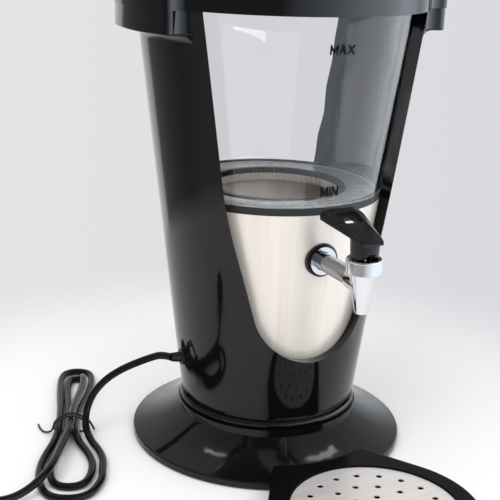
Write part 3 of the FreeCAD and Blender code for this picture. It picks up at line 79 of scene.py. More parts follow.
# Hank: s runs along it from the waist, w across it
HANK_AT = (-0.18185, 0.05766)
HANK_TURN = math.radians(20.1)
HANK_TURNS = 2
HANK_PITCH = 0.0080
HANK_LIFT = 0.0024
HANK_MIDDLE = 0.0011
BIG_LENGTH = 0.132
BIG_HALF_WIDTH = 0.028
BIG_MIDDLE = 0.0054
BIG_FOLD = 1.6
BIG_LENGTH_STEP = 0.020
BIG_WIDTH_STEP = 0.0095
SMALL_LENGTH = 0.1379
SMALL_HALF_WIDTH = 0.016
SMALL_LENGTH_STEP = 0.020
SMALL_WIDTH_STEP = 0.0082
CLIMB_START = 0.006
TIE_WIRE = 0.0010


def shell_radius(z):
    return SHELL_RADIUS + SHELL_TAPER * (z - SHELL_BOTTOM)


def tank_radius(z):
    return shell_radius(z) - TANK_INSET


# Material building blocks

def start_material(name, colour, roughness, metallic=0.0):
    material = bpy.data.materials.new(name)
    material.use_nodes = True
    tree = material.node_tree
    shader = tree.nodes["Principled BSDF"]
    shader.inputs["Base Color"].default_value = (*colour, 1.0)
    shader.inputs["Roughness"].default_value = roughness
    shader.inputs["Metallic"].default_value = metallic
    return material, tree, shader


def object_coordinates(tree, scale=(1.0, 1.0, 1.0)):
    coordinates = tree.nodes.new("ShaderNodeTexCoord")
    mapping = tree.nodes.new("ShaderNodeMapping")
    mapping.inputs["Scale"].default_value = scale
    tree.links.new(coordinates.outputs["Object"], mapping.inputs["Vector"])
    return mapping.outputs["Vector"]


def around_axis(tree, per_turn, per_metre):
    # Coordinates that run round the Z axis and along it, for patterns on the tank
    coordinates = tree.nodes.new("ShaderNodeTexCoord")
    split = tree.nodes.new("ShaderNodeSeparateXYZ")
    tree.links.new(coordinates.outputs["Object"], split.inputs["Vector"])
    angle = tree.nodes.new("ShaderNodeMath")
    angle.operation = "ARCTAN2"
    tree.links.new(split.outputs["X"], angle.inputs[0])
    tree.links.new(split.outputs["Y"], angle.inputs[1])
    join = tree.nodes.new("ShaderNodeCombineXYZ")
    tree.links.new(times(tree, angle.outputs[0], per_turn / (2 * math.pi)), join.inputs["X"])
    tree.links.new(times(tree, split.outputs["Z"], per_metre), join.inputs["Y"])
    return join.outputs["Vector"]


def times(tree, value, factor):
    node = tree.nodes.new("ShaderNodeMath")
    node.operation = "MULTIPLY"
    tree.links.new(value, node.inputs[0])
    node.inputs[1].default_value = factor
    return node.outputs[0]


def noise(tree, vector, scale, detail=3.0, roughness=0.5):
    node = tree.nodes.new("ShaderNodeTexNoise")
    node.inputs["Scale"].default_value = scale
    node.inputs["Detail"].default_value = detail
    node.inputs["Roughness"].default_value = roughness
    tree.links.new(vector, node.inputs["Vector"])
    return node.outputs["Fac"]


def spread(tree, value, low, high, start=0.3, end=0.7):
    node = tree.nodes.new("ShaderNodeMapRange")
    node.inputs["From Min"].default_value = start
    node.inputs["From Max"].default_value = end
    node.inputs["To Min"].default_value = low
    node.inputs["To Max"].default_value = high
    tree.links.new(value, node.inputs["Value"])
    return node.outputs["Result"]


def colour_between(tree, value, stops):
    node = tree.nodes.new("ShaderNodeValToRGB")
    ramp = node.color_ramp
    while len(ramp.elements) < len(stops):
        ramp.elements.new(0.5)
    for element, (at, colour) in zip(ramp.elements, stops):
        element.position = at
        element.color = (*colour, 1.0)
    tree.links.new(value, node.inputs["Fac"])
    return node.outputs["Color"]


def add_bump(tree, shader, height, distance, strength=1.0):
    node = tree.nodes.new("ShaderNodeBump")
    node.inputs["Strength"].default_value = strength
    node.inputs["Distance"].default_value = distance
    tree.links.new(height, node.inputs["Height"])
    tree.links.new(node.outputs["Normal"], shader.inputs["Normal"])


# Materials

# Dark rim of the tap's disc, and the black upper part of the clamp ring's bore
DISC_RIM = 0.0016
GRIP_HEIGHT = 0.0052


def gloss_plastic(name, colour, low=0.05, high=0.10, wave=0.00012, shine=0.32):
    # Injection-moulded gloss plastic: slight flow waves and faint wiping marks
    material, tree, shader = start_material(name, colour, low)
    place = object_coordinates(tree)
    wiping = noise(tree, object_coordinates(tree, (60, 60, 220)), 1.0, 4.0, 0.6)
    tree.links.new(spread(tree, wiping, low, high), shader.inputs["Roughness"])
    add_bump(tree, shader, noise(tree, place, 28.0, 2.0), wave)
    shader.inputs["Specular IOR Level"].default_value = shine
    return material


def matt_plastic(name, colour, roughness=0.5, grain=1800.0, shine=0.5):
    material, tree, shader = start_material(name, colour, roughness)
    place = object_coordinates(tree)
    tree.links.new(spread(tree, noise(tree, place, 90.0), roughness - 0.06, roughness + 0.06),
                   shader.inputs["Roughness"])
    add_bump(tree, shader, noise(tree, place, grain, 2.0), 0.00005)
    shader.inputs["Specular IOR Level"].default_value = shine
    return material


def rubber(name, colour, roughness=0.62):
    material, tree, shader = start_material(name, colour, roughness)
    place = object_coordinates(tree)
    shade = noise(tree, place, 160.0, 4.0)
    darker = tuple(c * 0.7 for c in colour)
    tree.links.new(colour_between(tree, shade, [(0.3, darker), (0.7, colour)]), shader.inputs["Base Color"])
    add_bump(tree, shader, noise(tree, place, 1500.0, 3.0), 0.00008)
    return material


def brushed_tank_steel():
    # Fine brush lines along the height, over broad soft bands round the tank
    material, tree, shader = start_material("tank_steel", (0.72, 0.68, 0.62), 0.34, 0.45)
    fine = noise(tree, around_axis(tree, 900, 9), 1.0, 5.0, 0.65)
    broad = noise(tree, around_axis(tree, 26, 1.2), 1.0, 2.0)
    mixed = tree.nodes.new("ShaderNodeMix")
    mixed.inputs["Factor"].default_value = 0.4
    tree.links.new(broad, mixed.inputs["A"])
    tree.links.new(fine, mixed.inputs["B"])
    stops = [(0.36, (0.70, 0.655, 0.60)), (0.5, (0.83, 0.775, 0.71)), (0.62, (0.90, 0.85, 0.785))]
    tree.links.new(colour_between(tree, mixed.outputs["Result"], stops), shader.inputs["Base Color"])
    tree.links.new(spread(tree, fine, 0.28, 0.44), shader.inputs["Roughness"])
    add_bump(tree, shader, fine, 0.00002)
    return material


def brushed_flat_steel(name, colour, direction):
    # Brushed sheet, its lines along one direction
    material, tree, shader = start_material(name, colour, 0.36, 0.5)
    stretch = (12, 900, 900) if direction == "X" else (900, 12, 900)
    fine = noise(tree, object_coordinates(tree, stretch), 1.0, 4.0, 0.6)
    darker = tuple(c * 0.82 for c in colour)
    tree.links.new(colour_between(tree, fine, [(0.35, darker), (0.65, colour)]), shader.inputs["Base Color"])
    tree.links.new(spread(tree, fine, 0.28, 0.46), shader.inputs["Roughness"])
    add_bump(tree, shader, fine, 0.00002)
    return material


def chrome(name, colour):
    material, tree, shader = start_material(name, colour, 0.06, 1.0)
    place = object_coordinates(tree)
    tree.links.new(spread(tree, noise(tree, place, 220.0, 4.0), 0.03, 0.10), shader.inputs["Roughness"])
    add_bump(tree, shader, noise(tree, place, 40.0, 1.0), 0.00004)
    return material


def escutcheon_chrome():
    # Chrome disc with a dark rim, which the photograph shows all round it
    material, tree, shader = start_material("escutcheon_chrome", (0.6, 0.6, 0.62), 0.06, 1.0)
    low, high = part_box("tap_escutcheon")
    centre = ((low[0] + high[0]) / 2, 0.0, (low[2] + high[2]) / 2)
    radius = (high[2] - low[2]) / 2
    apart = tree.nodes.new("ShaderNodeVectorMath")
    apart.operation = "DISTANCE"
    tree.links.new(object_coordinates(tree, (1, 0, 1)), apart.inputs[0])
    apart.inputs[1].default_value = centre
    rim = spread(tree, apart.outputs["Value"], 0.0, 1.0, radius - DISC_RIM - 0.0003, radius - DISC_RIM)
    stops = [(0.0, (0.62, 0.62, 0.64)), (1.0, (0.02, 0.02, 0.022))]
    tree.links.new(colour_between(tree, rim, stops), shader.inputs["Base Color"])
    tree.links.new(spread(tree, noise(tree, object_coordinates(tree), 220.0, 4.0), 0.03, 0.10),
                   shader.inputs["Roughness"])
    return material


def clamp_finish():
    # Black grip round the clamp ring's top, bare steel down its bore
    material, tree, shader = start_material("clamp_finish", (0.012, 0.012, 0.013), 0.4)
    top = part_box("clamp_ring")[1][2]
    place = object_coordinates(tree)
    split = tree.nodes.new("ShaderNodeSeparateXYZ")
    tree.links.new(place, split.inputs[0])
    black = spread(tree, split.outputs["Z"], 0.0, 1.0, top - GRIP_HEIGHT - 0.0002, top - GRIP_HEIGHT)
    stops = [(0.0, (0.62, 0.56, 0.49)), (1.0, (0.012, 0.012, 0.013))]
    tree.links.new(colour_between(tree, black, stops), shader.inputs["Base Color"])
    tree.links.new(spread(tree, black, 0.5, 0.0, 0.0, 1.0), shader.inputs["Metallic"])
    tree.links.new(spread(tree, noise(tree, place, 300.0, 3.0), 0.32, 0.48), shader.inputs["Roughness"])
    add_bump(tree, shader, noise(tree, place, 900.0, 2.0), 0.00003)
    return material


def plain_metal(name, colour, roughness, grain=400.0):
    material, tree, shader = start_material(name, colour, roughness, 1.0)
    place = object_coordinates(tree)
    tree.links.new(spread(tree, noise(tree, place, grain, 4.0), roughness - 0.08, roughness + 0.1),
                   shader.inputs["Roughness"])
    add_bump(tree, shader, noise(tree, place, grain * 3, 2.0), 0.00004)
    return material


def clear_glass(name, tint):
    # Glass that lets the lamps' light through, so that what is inside it is lit
    material, tree, shader = start_material(name, tint, 0.0)
    shader.inputs["Transmission Weight"].default_value = 1.0
    shader.inputs["IOR"].default_value = 1.47
    place = object_coordinates(tree)
    add_bump(tree, shader, noise(tree, place, 9.0, 1.0), 0.00015)
    clear = tree.nodes.new("ShaderNodeBsdfTransparent")
    clear.inputs["Color"].default_value = (0.93, 0.94, 0.95, 1.0)
    path = tree.nodes.new("ShaderNodeLightPath")
    mix = tree.nodes.new("ShaderNodeMixShader")
    tree.links.new(path.outputs["Is Shadow Ray"], mix.inputs["Fac"])
    tree.links.new(shader.outputs["BSDF"], mix.inputs[1])
    tree.links.new(clear.outputs["BSDF"], mix.inputs[2])
    tree.links.new(mix.outputs["Shader"], tree.nodes["Material Output"].inputs["Surface"])
    return material


BLACK = (0.0032, 0.0033, 0.0038)
black_gloss = gloss_plastic("black_gloss", BLACK)
black_tray = gloss_plastic("black_tray", (0.0040, 0.0040, 0.0045), 0.12, 0.24, 0.00008, 0.04)
lever_plastic = gloss_plastic("lever_plastic", (0.0075, 0.0077, 0.0085), 0.20, 0.32)
black_matt = matt_plastic("black_matt", (0.012, 0.012, 0.013), 0.45)
black_rubber = rubber("black_rubber", (0.017, 0.017, 0.018))
seal_white = rubber("seal_white", (0.62, 0.63, 0.63), 0.5)
# The glass seal gets a lighter copy of the white seal: painted light, making up for the shade of the black
# shell round it
seal_painted_light = rubber("seal_painted_light", (0.90, 0.91, 0.90), 0.4)
cord_skin = matt_plastic("cord_skin", (0.0040, 0.0040, 0.0045), 0.24, 900.0, 0.25)
tie_skin = matt_plastic("tie_skin", (0.010, 0.011, 0.014), 0.4)
tank_steel = brushed_tank_steel()
sheet_steel = brushed_flat_steel("sheet_steel", (0.74, 0.70, 0.65), "X")
grille_steel = brushed_flat_steel("grille_steel", (0.84, 0.81, 0.79), "X")
chrome_plate = chrome("chrome", (0.60, 0.60, 0.62))
# The spout and bonnet get a lighter copy of the stem's chrome: painted light, standing for the brighter
# surroundings that the spout mirrors
spout_chrome_painted_bright = chrome("spout_chrome_painted_bright", (0.72, 0.72, 0.74))
escutcheon = escutcheon_chrome()
clamp_grip = clamp_finish()
screw_metal = plain_metal("screw_metal", (0.50, 0.50, 0.52), 0.3)
rod_metal = plain_metal("rod_metal", (0.62, 0.61, 0.60), 0.25)
heater_metal = plain_metal("heater_metal", (0.44, 0.42, 0.39), 0.42)
cast_aluminium = plain_metal("cast_aluminium", (0.68, 0.69, 0.71), 0.45, 250.0)
brass = plain_metal("brass", (0.74, 0.56, 0.27), 0.3)
pin_metal = plain_metal("pin_metal", (0.80, 0.79, 0.76), 0.18)
white_plastic = matt_plastic("white_plastic", (0.66, 0.66, 0.64), 0.42)
wire_skin = matt_plastic("wire_skin", (0.58, 0.58, 0.55), 0.38)
lamp_red = gloss_plastic("lamp_red", (0.52, 0.035, 0.02))
ink = matt_plastic("ink", (0.006, 0.006, 0.007), 0.6, 1800.0, 0.05)
dial_ink = matt_plastic("dial_ink", (0.78, 0.78, 0.76), 0.5)
tank_glass = clear_glass("tank_glass", (0.965, 0.97, 0.975))

FINISH = {
    black_gloss: "base_skirt bead_ring body_shell collar lid plate_knob thermostat_knob plug_body",
    lever_plastic: "tap_lever",
    black_tray: "drip_tray",
    black_matt: "base_cover cord_gland",
    clamp_grip: "clamp_ring",
    black_rubber: "rubber_feet tank_gasket tap_gasket_outer tap_gasket_inner",
    seal_white: "collar_seal lid_seal valve_seal",
    seal_painted_light: "glass_seal",
    tank_steel: "steel_tank",
    sheet_steel: "steam_plate tank_support",
    grille_steel: "drip_grille",
    chrome_plate: "tap_stem tap_nut lock_ring",
    spout_chrome_painted_bright: "tap_body tap_bonnet",
    escutcheon: "tap_escutcheon",
    screw_metal: "cover_screws shell_screws collar_screws",
    rod_metal: "valve_rod valve_spring lever_pin thermostat_shaft thermostat_sensor",
    heater_metal: "heater_tube",
    cast_aluminium: "heater_plate thermal_cutout",
    brass: "heater_terminals",
    pin_metal: "plug_pins",
    lamp_red: "indicator_lens",
    white_plastic: "lamp_body terminal_block thermostat_body",
    wire_skin: "internal_wires",
    tank_glass: "glass_tank",
    cord_skin: "cord_lead cord_hank cord_tail",
    tie_skin: "cord_tie",
}
# Width of the rounded edge that each moulded or machined piece gets
ROUNDING = {
    "base_skirt": 0.0006, "bead_ring": 0.0005, "body_shell": 0.0006, "collar": 0.0005, "lid": 0.0008,
    "plate_knob": 0.0005, "tap_bonnet": 0.0003, "tap_lever": 0.0009, "thermostat_knob": 0.0003,
    "plug_body": 0.0005, "drip_tray": 0.0006, "tap_body": 0.0004, "tap_nut": 0.0004,
    "tap_escutcheon": 0.0005, "glass_tank": 0.0008, "drip_grille": 0.0002, "steam_plate": 0.0002,
    "tank_gasket": 0.0004, "indicator_lens": 0.0003, "base_cover": 0.0003, "cord_gland": 0.0005,
}


def dress(node, material):
    mesh = node.data
    mesh.materials.clear()
    mesh.materials.append(material)
    if node.name in ROUNDING:
        weld = node.modifiers.new("weld", "WELD")
        weld.merge_threshold = 0.000002
        bevel = node.modifiers.new("bevel", "BEVEL")
        bevel.width = ROUNDING[node.name]
        bevel.segments = 2
        bevel.limit_method = "ANGLE"
        bevel.angle_limit = math.radians(40)
        bevel.use_clamp_overlap = True
        smooth = node.modifiers.new("smooth", "WEIGHTED_NORMAL")
        smooth.keep_sharp = True


for material, names in FINISH.items():
    for name in names.split():
        dress(nodes[name], material)


# Cord

def hank_point(s, w, z):
    x = HANK_AT[0] + s * math.sin(HANK_TURN) + w * math.cos(HANK_TURN)
    y = HANK_AT[1] + s * math.cos(HANK_TURN) - w * math.sin(HANK_TURN)
    return Vector((x, y, z))


def hank_direction(s, w):
    return hank_point(s, w, 0.0) - hank_point(0.0, 0.0, 0.0)


def hank_stations():
    # Where the cord goes straight along or across the hank, with its direction there
    floor = CORD_DIAMETER / 2
    tied = floor + HANK_LIFT
    down, up = hank_direction(-1, 0), hank_direction(1, 0)
    left, right = hank_direction(0, -1), hank_direction(0, 1)
    stations = []
    for turn in range(HANK_TURNS):
        side = HANK_PITCH * (HANK_TURNS - 0.5 - turn)
        half = BIG_HALF_WIDTH - turn * BIG_WIDTH_STEP
        length = BIG_LENGTH - turn * BIG_LENGTH_STEP
        if turn > 0:
            stations.append((hank_point(0, HANK_MIDDLE + side, tied), down))
        widest = BIG_FOLD * half - length
        stations.append((hank_point(widest, BIG_MIDDLE + half, floor), down))
        stations.append((hank_point(-length, BIG_MIDDLE, floor), left))
        stations.append((hank_point(widest, BIG_MIDDLE - half, floor), up))
        stations.append((hank_point(0, HANK_MIDDLE - side, tied), up))
        half = SMALL_HALF_WIDTH - turn * SMALL_WIDTH_STEP
        length = SMALL_LENGTH - turn * SMALL_LENGTH_STEP
        climb = CLIMB_START if turn == HANK_TURNS - 1 else 0.0
        stations.append((hank_point(length - half, -half, floor), up))
        stations.append((hank_point(length, 0, floor), right))
        stations.append((hank_point(length - half, half, floor + climb), down))
    stations.append((hank_point(0, HANK_MIDDLE, tied + HANK_PITCH), down))
    return stations


def hank_knees():
    # Two points for each stretch between stations, on the lines that the cord follows there
    knees = []
    stations = hank_stations()
    for (p1, d1), (p2, d2) in zip(stations, stations[1:]):
        span = p2 - p1
        a = 2 * (1 - d1.dot(d2))
        b = 2 * span.dot(d1 + d2)
        c = -span.dot(span)
        reach = -c / b if abs(a) < 1e-6 else (-b + math.sqrt(b * b - 4 * a * c)) / (2 * a)
        knees += [p1 + d1 * reach, p2 - d2 * reach]
    return knees


def plug_start():
    last = Vector(TAIL[-1]) - Vector(TAIL[-2])
    flat = Vector((last.x, last.y, 0)).normalized()
    direction = flat * math.cos(PLUG_LEAN) + Vector((0, 0, math.sin(PLUG_LEAN)))
    return Vector(TAIL[-1]) + direction * PLUG_LEAD


def nurbs_tube(name, points, radius, material, resolution=10):
    curve = bpy.data.curves.new(name, "CURVE")
    curve.dimensions = "3D"
    spline = curve.splines.new("NURBS")
    spline.points.add(len(points) - 1)
    for point, place in zip(spline.points, points):
        point.co = (*place, 1.0)
    spline.order_u = 3
    spline.use_endpoint_u = True
    spline.resolution_u = resolution
    curve.bevel_depth = radius
    curve.bevel_resolution = 6
    curve.use_fill_caps = True
    curve.materials.append(material)
    tube = bpy.data.objects.new(name, curve)
    bpy.context.scene.collection.objects.link(tube)
    return tube


cord_points = LEAD + [tuple(p) for p in hank_knees()] + TAIL + [tuple(plug_start())]
cord = nurbs_tube("mains_cord", cord_points, CORD_DIAMETER / 2, cord_skin)
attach(cord, "root")
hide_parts("cord_lead", "cord_hank", "cord_tail")


# Twist tie: a wire in a flat plastic ribbon, wound round the hank's waist

def tie_points():
    half = HANK_PITCH * 1.5 + CORD_DIAMETER / 2 + TIE_WIRE + 0.0004
    low = TIE_WIRE + 0.0001
    top = CORD_DIAMETER + HANK_LIFT + TIE_WIRE + 0.0005
    peak = top + HANK_PITCH
    mid = HANK_MIDDLE
    route = [
        (0.0150, -0.0315, 0.0013), (0.0060, -0.0295, 0.0013), (-0.0030, -0.0240, 0.0016),
        (-0.0055, mid - half - 0.001, 0.004), (-0.0045, mid - half + 0.0006, top + 0.0005),
        (-0.0034, mid - 0.004, peak), (-0.0026, mid + 0.004, peak),
        (-0.0018, mid + half - 0.0006, top + 0.0005), (-0.0012, mid + half, low + 0.003),
        (-0.0006, mid + half - 0.003, low), (0.0002, mid - half + 0.003, low),
        (0.0008, mid - half, low + 0.003), (0.0016, mid - half + 0.0006, top + 0.0005),
        (0.0024, mid - 0.004, peak), (0.0032, mid + 0.004, peak),
        (0.0040, mid + half - 0.0006, top + 0.0005), (0.0055, mid + half + 0.002, 0.006),
        (0.0025, mid + half + 0.005, 0.0015),
    ]
    return [tuple(hank_point(s, w, z)) for s, w, z in route]


tie = nurbs_tube("twist_tie", tie_points(), TIE_WIRE, tie_skin, 8)
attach(tie, "root")
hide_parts("cord_tie")


# Printed marks

# Capitals as strokes, each letter one unit high, with its width. The gap and the stroke are in that unit.
LETTERS = {
    "A": (0.86, [((0, 0), (0.43, 1)), ((0.43, 1), (0.86, 0)), ((0.15, 0.33), (0.71, 0.33))]),
    "I": (0.0, [((0, 0), (0, 1))]),
    "M": (0.90, [((0, 0), (0, 1)), ((0, 1), (0.45, 0.12)), ((0.45, 0.12), (0.90, 1)),
                 ((0.90, 1), (0.90, 0))]),
    "N": (0.74, [((0, 0), (0, 1)), ((0, 1), (0.74, 0)), ((0.74, 0), (0.74, 1))]),
    "X": (0.80, [((0, 0), (0.80, 1)), ((0, 1), (0.80, 0))]),
}
LETTER_GAP = 0.42
STROKE = 0.20
STROKE_CUTS = 6


def word_mesh(name, word, height, width):
    # The word as flat strokes in X and Y, centred, each stroke cut into short lengths so that it can bend
    strokes = []
    start = 0.0
    for letter in word:
        wide, lines = LETTERS[letter]
        strokes += [((x1 + start, y1), (x2 + start, y2)) for (x1, y1), (x2, y2) in lines]
        start += wide + LETTER_GAP
    length = start - LETTER_GAP
    half = STROKE / 2
    across = (width - STROKE * height) / length
    tall = height - STROKE * height
    made = bmesh.new()
    for first, last in strokes:
        a = Vector(((first[0] - length / 2) * across, (first[1] - 0.5) * tall, 0))
        b = Vector(((last[0] - length / 2) * across, (last[1] - 0.5) * tall, 0))
        along = (b - a).normalized() * half * height
        sideways = Vector((-along.y, along.x, 0))
        a -= along
        b += along
        rows = []
        for step in range(STROKE_CUTS + 1):
            at = a.lerp(b, step / STROKE_CUTS)
            rows.append((made.verts.new(at - sideways), made.verts.new(at + sideways)))
        for (p, q), (u, v) in zip(rows, rows[1:]):
            made.faces.new((p, u, v, q))
    mesh = bpy.data.meshes.new(name)
    made.to_mesh(mesh)
    made.free()
    return mesh


def place_print(name, mesh, material, body):
    mesh.materials.clear()
    mesh.materials.append(material)
    piece = bpy.data.objects.new(name, mesh)
    bpy.context.scene.collection.objects.link(piece)
    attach(piece, body)
    return piece


PRINT_LIFT = 0.00015


def print_on_tank(name, word, degrees, z, height, width):
    # A level mark bent round the tank, its middle the given angle to the right of the tap
    mesh = word_mesh(name, word, height, width)
    middle = math.radians(degrees)
    radius = tank_radius(z)
    for v in mesh.vertices:
        up = z + v.co.y
        angle = middle + v.co.x / radius
        out = tank_radius(up) + PRINT_LIFT
        v.co = (out * math.sin(angle), -out * math.cos(angle), up)
    return place_print(name, mesh, ink, "root")


print_on_tank("mark_max", "MAX", -1.4, 0.3827, 0.0080, 0.0225)
print_on_tank("mark_min", "MIN", 0.2, 0.2624, 0.0088, 0.0172)

# Thermostat dial at the rear: marks round the knob that widen with the heat, and a pointer on the knob
DIAL_AT = (0.0, 0.076)
DIAL_FACE = 0.09195 + PRINT_LIFT
DIAL_INNER = 0.0176
DIAL_OUTER = 0.0194
DIAL_MARKS = 11
DIAL_SWEEP = math.radians(270)
FIRST_MARK = 0.0002
MARK_GROWTH = 0.0005
POINTER_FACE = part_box("thermostat_knob")[1][1] + PRINT_LIFT
POINTER_INNER = 0.0085
POINTER_OUTER = 0.0145
POINTER_HALF_WIDTH = 0.0006


def radial_bar(made, angle, inner, outer, half, y):
    # A flat bar that points outwards, its angle clockwise from the top as seen from behind
    out = Vector((-math.sin(angle), 0, math.cos(angle)))
    sideways = Vector((out.z, 0, -out.x)) * half
    centre = Vector((DIAL_AT[0], y, DIAL_AT[1]))
    ends = (centre + out * inner, centre + out * outer)
    corners = (ends[0] - sideways, ends[0] + sideways, ends[1] + sideways, ends[1] - sideways)
    made.faces.new([made.verts.new(corner) for corner in corners])


def dial_marks():
    made = bmesh.new()
    for mark in range(DIAL_MARKS):
        share = mark / (DIAL_MARKS - 1)
        angle = DIAL_SWEEP * (share - 0.5)
        radial_bar(made, angle, DIAL_INNER, DIAL_OUTER, FIRST_MARK + MARK_GROWTH * share, DIAL_FACE)
    mesh = bpy.data.meshes.new("dial_marks")
    made.to_mesh(mesh)
    made.free()
    return place_print("dial_marks", mesh, dial_ink, "root")


def dial_pointer():
    # At rest the knob stands at its hottest mark and turns back from it
    made = bmesh.new()
    radial_bar(made, DIAL_SWEEP / 2, POINTER_INNER, POINTER_OUTER, POINTER_HALF_WIDTH, POINTER_FACE)
    mesh = bpy.data.meshes.new("dial_pointer")
    made.to_mesh(mesh)
    made.free()
    return place_print("dial_pointer", mesh, dial_ink, "knob")


dial_marks()
dial_pointer()


# Floor, world, lamps and camera

FLOOR_RADIUS = 0.66
FLOOR_DROP = 0.0002
# Distances from the middle between which the floor fades, as seen and as mirrored in gloss
SEEN_FADE = (0.27, 0.52)
MIRRORED_FADE = (0.56, 0.65)


def floor_material():
    # Pale floor that fades into the backdrop at its rim, further out where it is seen in a reflection
    material, tree, shader = start_material("floor", (0.87, 0.86, 0.875), 0.5)
    shader.inputs["Specular IOR Level"].default_value = 0.25
    coordinates = tree.nodes.new("ShaderNodeTexCoord")
    length = tree.nodes.new("ShaderNodeVectorMath")
    length.operation = "LENGTH"
    tree.links.new(coordinates.outputs["Object"], length.inputs[0])
    seen = spread(tree, length.outputs["Value"], 0.0, 1.0, *SEEN_FADE)
    seen.node.interpolation_type = "SMOOTHSTEP"
    mirrored = spread(tree, length.outputs["Value"], 0.0, 1.0, *MIRRORED_FADE)
    path = tree.nodes.new("ShaderNodeLightPath")
    fade = tree.nodes.new("ShaderNodeMix")
    tree.links.new(path.outputs["Is Glossy Ray"], fade.inputs["Factor"])
    tree.links.new(seen, fade.inputs["A"])
    tree.links.new(mirrored, fade.inputs["B"])
    clear = tree.nodes.new("ShaderNodeBsdfTransparent")
    mix = tree.nodes.new("ShaderNodeMixShader")
    tree.links.new(fade.outputs["Result"], mix.inputs["Fac"])
    tree.links.new(shader.outputs["BSDF"], mix.inputs[1])
    tree.links.new(clear.outputs["BSDF"], mix.inputs[2])
    tree.links.new(mix.outputs["Shader"], tree.nodes["Material Output"].inputs["Surface"])
    return material


def make_floor():
    mesh = bpy.data.meshes.new("floor")
    made = bmesh.new()
    bmesh.ops.create_circle(made, cap_ends=True, radius=FLOOR_RADIUS, segments=96)
    made.to_mesh(mesh)
    made.free()
    mesh.materials.append(floor_material())
    floor = bpy.data.objects.new("floor", mesh)
    bpy.context.scene.collection.objects.link(floor)
    floor.location = (0, 0, -FLOOR_DROP)


def band(tree, value, low, high, soft):
    # One between low and high, falling to zero over the soft width on both sides
    rise = spread(tree, value, 0.0, 1.0, low - soft, low)
    fall = spread(tree, value, 1.0, 0.0, high, high + soft)
    both = tree.nodes.new("ShaderNodeMath")
    both.operation = "MULTIPLY"
    tree.links.new(rise, both.inputs[0])
    tree.links.new(fall, both.inputs[1])
    return both.outputs[0]


def blend(tree, factor, first, second):
    node = tree.nodes.new("ShaderNodeMix")
    node.data_type = "RGBA"
    tree.links.new(factor, node.inputs["Factor"])
    for socket, value in (("A", first), ("B", second)):
        if isinstance(value, tuple):
            node.inputs[socket].default_value = (*value, 1.0)
        else:
            tree.links.new(value, node.inputs[socket])
    return node.outputs["Result"]


def grey(value, tint=(1.0, 1.0, 1.0)):
    return tuple(value * c for c in tint)


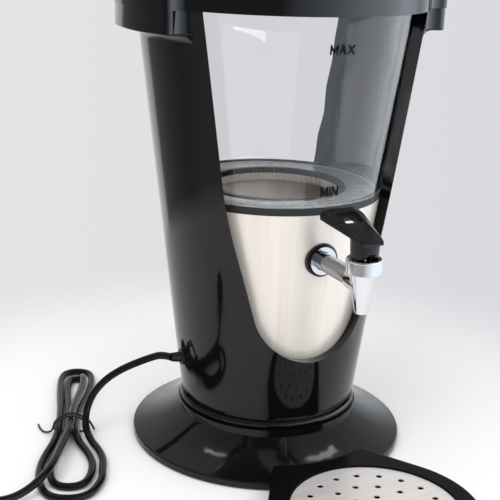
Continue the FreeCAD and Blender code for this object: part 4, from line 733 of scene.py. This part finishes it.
def make_world():
    world = bpy.data.worlds.new("studio")
    bpy.context.scene.world = world
    world.use_nodes = True
    tree = world.node_tree
    background = tree.nodes["Background"]
    direction = tree.nodes.new("ShaderNodeTexCoord").outputs["Generated"]

    def along(vector):
        node = tree.nodes.new("ShaderNodeVectorMath")
        node.operation = "DOT_PRODUCT"
        tree.links.new(direction, node.inputs[0])
        node.inputs[1].default_value = vector
        return node.outputs["Value"]

    ahead = Vector((math.sin(CAMERA_HEADING), math.cos(CAMERA_HEADING), 0))
    side = Vector((ahead.y, -ahead.x, 0))
    angle = tree.nodes.new("ShaderNodeMath")
    angle.operation = "ARCTAN2"
    tree.links.new(along(side), angle.inputs[0])
    tree.links.new(along(-ahead), angle.inputs[1])
    # Half where the camera stands, less to its left and more to its right, the backdrop at both ends
    turn = spread(tree, angle.outputs[0], 0.0, 1.0, -math.pi, math.pi)
    height = along(Vector((0, 0, 1)))
    cool = (0.90, 1.0, 1.10)
    low = colour_between(tree, turn, [
        (0.0, grey(0.95)), (0.115, grey(1.25)), (0.127, grey(0.38)), (0.25, grey(0.25)), (0.32, grey(0.45)),
        (0.47, grey(0.40)), (0.56, grey(0.9, cool)), (0.66, grey(1.3, cool)), (0.85, grey(1.25, cool)),
        (1.0, grey(0.95))])
    level = colour_between(tree, turn, [
        (0.0, grey(0.95)), (0.115, grey(1.25)), (0.127, grey(0.32)), (0.333, grey(0.18)), (0.50, grey(0.18)),
        (0.535, grey(0.9, cool)), (0.60, grey(1.9, cool)), (0.68, grey(3.8, cool)), (0.79, grey(4.4, cool)),
        (0.86, grey(1.1, cool)), (1.0, grey(0.95))])
    high = colour_between(tree, turn, [
        (0.0, grey(0.7)), (0.12, grey(0.65)), (0.22, grey(0.35)), (0.5, grey(0.25)), (0.7, grey(0.5, cool)),
        (0.88, grey(0.65)), (1.0, grey(0.7))])
    studio = blend(tree, spread(tree, height, 0.0, 1.0, -0.24, -0.12), low, level)
    studio = blend(tree, spread(tree, height, 0.0, 1.0, 0.12, 0.34), studio, high)
    studio = blend(tree, spread(tree, height, 0.0, 1.0, 0.93, 0.985), studio, (0.3, 0.3, 0.3))
    # Two ceiling lamps behind the samovar, seen in the skirt
    for start, end, bottom, top in ((0.1475, 0.1580, 0.875, 0.950), (0.836, 0.852, 0.80, 0.925)):
        across = band(tree, turn, start, end, 0.003)
        upright = band(tree, height, bottom, top, 0.01)
        patch = tree.nodes.new("ShaderNodeMath")
        patch.operation = "MULTIPLY"
        tree.links.new(across, patch.inputs[0])
        tree.links.new(upright, patch.inputs[1])
        studio = blend(tree, patch.outputs[0], studio, (6.0, 6.0, 6.0))
    path = tree.nodes.new("ShaderNodeLightPath")
    light = blend(tree, path.outputs["Is Glossy Ray"], (0.92, 0.92, 0.93), studio)
    # Backdrop seen by the camera, straight and through glass
    backdrop = colour_between(tree, spread(tree, along(side), 0.0, 1.0, -1.0, 1.0),
                              [(0.40, (0.775, 0.765, 0.785)), (0.60, (0.70, 0.705, 0.735))])
    seen = tree.nodes.new("ShaderNodeMath")
    seen.operation = "MAXIMUM"
    tree.links.new(path.outputs["Is Camera Ray"], seen.inputs[0])
    tree.links.new(path.outputs["Is Transmission Ray"], seen.inputs[1])
    tree.links.new(blend(tree, seen.outputs[0], light, backdrop), background.inputs["Color"])
    background.inputs["Strength"].default_value = 1.0


def area_lamp(name, at, target, size, power, colour=(1.0, 1.0, 1.0), glossy=True):
    light = bpy.data.lights.new(name, "AREA")
    light.shape = "RECTANGLE"
    light.size, light.size_y = size
    light.energy = power
    light.color = colour
    lamp = bpy.data.objects.new(name, light)
    bpy.context.scene.collection.objects.link(lamp)
    lamp.location = at
    lamp.rotation_mode = "QUATERNION"
    lamp.rotation_quaternion = (Vector(target) - Vector(at)).to_track_quat("-Z", "Y")
    lamp.visible_glossy = glossy
    lamp.visible_camera = False
    return lamp


def make_camera():
    forward = Vector((math.sin(CAMERA_HEADING) * math.cos(CAMERA_DOWN),
                      math.cos(CAMERA_HEADING) * math.cos(CAMERA_DOWN),
                      -math.sin(CAMERA_DOWN)))
    level = Vector((math.cos(CAMERA_HEADING), -math.sin(CAMERA_HEADING), 0))
    up = level.cross(forward)
    right = level * math.cos(CAMERA_ROLL) + up * math.sin(CAMERA_ROLL)
    up = right.cross(forward)
    data = bpy.data.cameras.new("camera")
    data.sensor_width = SENSOR
    data.lens = FOCAL_PIXELS * SENSOR / IMAGE
    camera = bpy.data.objects.new("camera", data)
    bpy.context.scene.collection.objects.link(camera)
    camera.matrix_world = Matrix((right, up, -forward)).transposed().to_4x4()
    camera.location = CAMERA_AT
    bpy.context.scene.camera = camera


make_floor()
make_world()
area_lamp("key", (-0.9, -0.5, 1.25), (0, 0, 0.2), (0.9, 0.9), 9.0, glossy=False)
area_lamp("front", (0.1, -1.3, 0.9), (0, 0, 0.2), (0.9, 0.7), 7.0, glossy=False)
make_camera()
bpy.context.scene.view_settings.view_transform = "Standard"
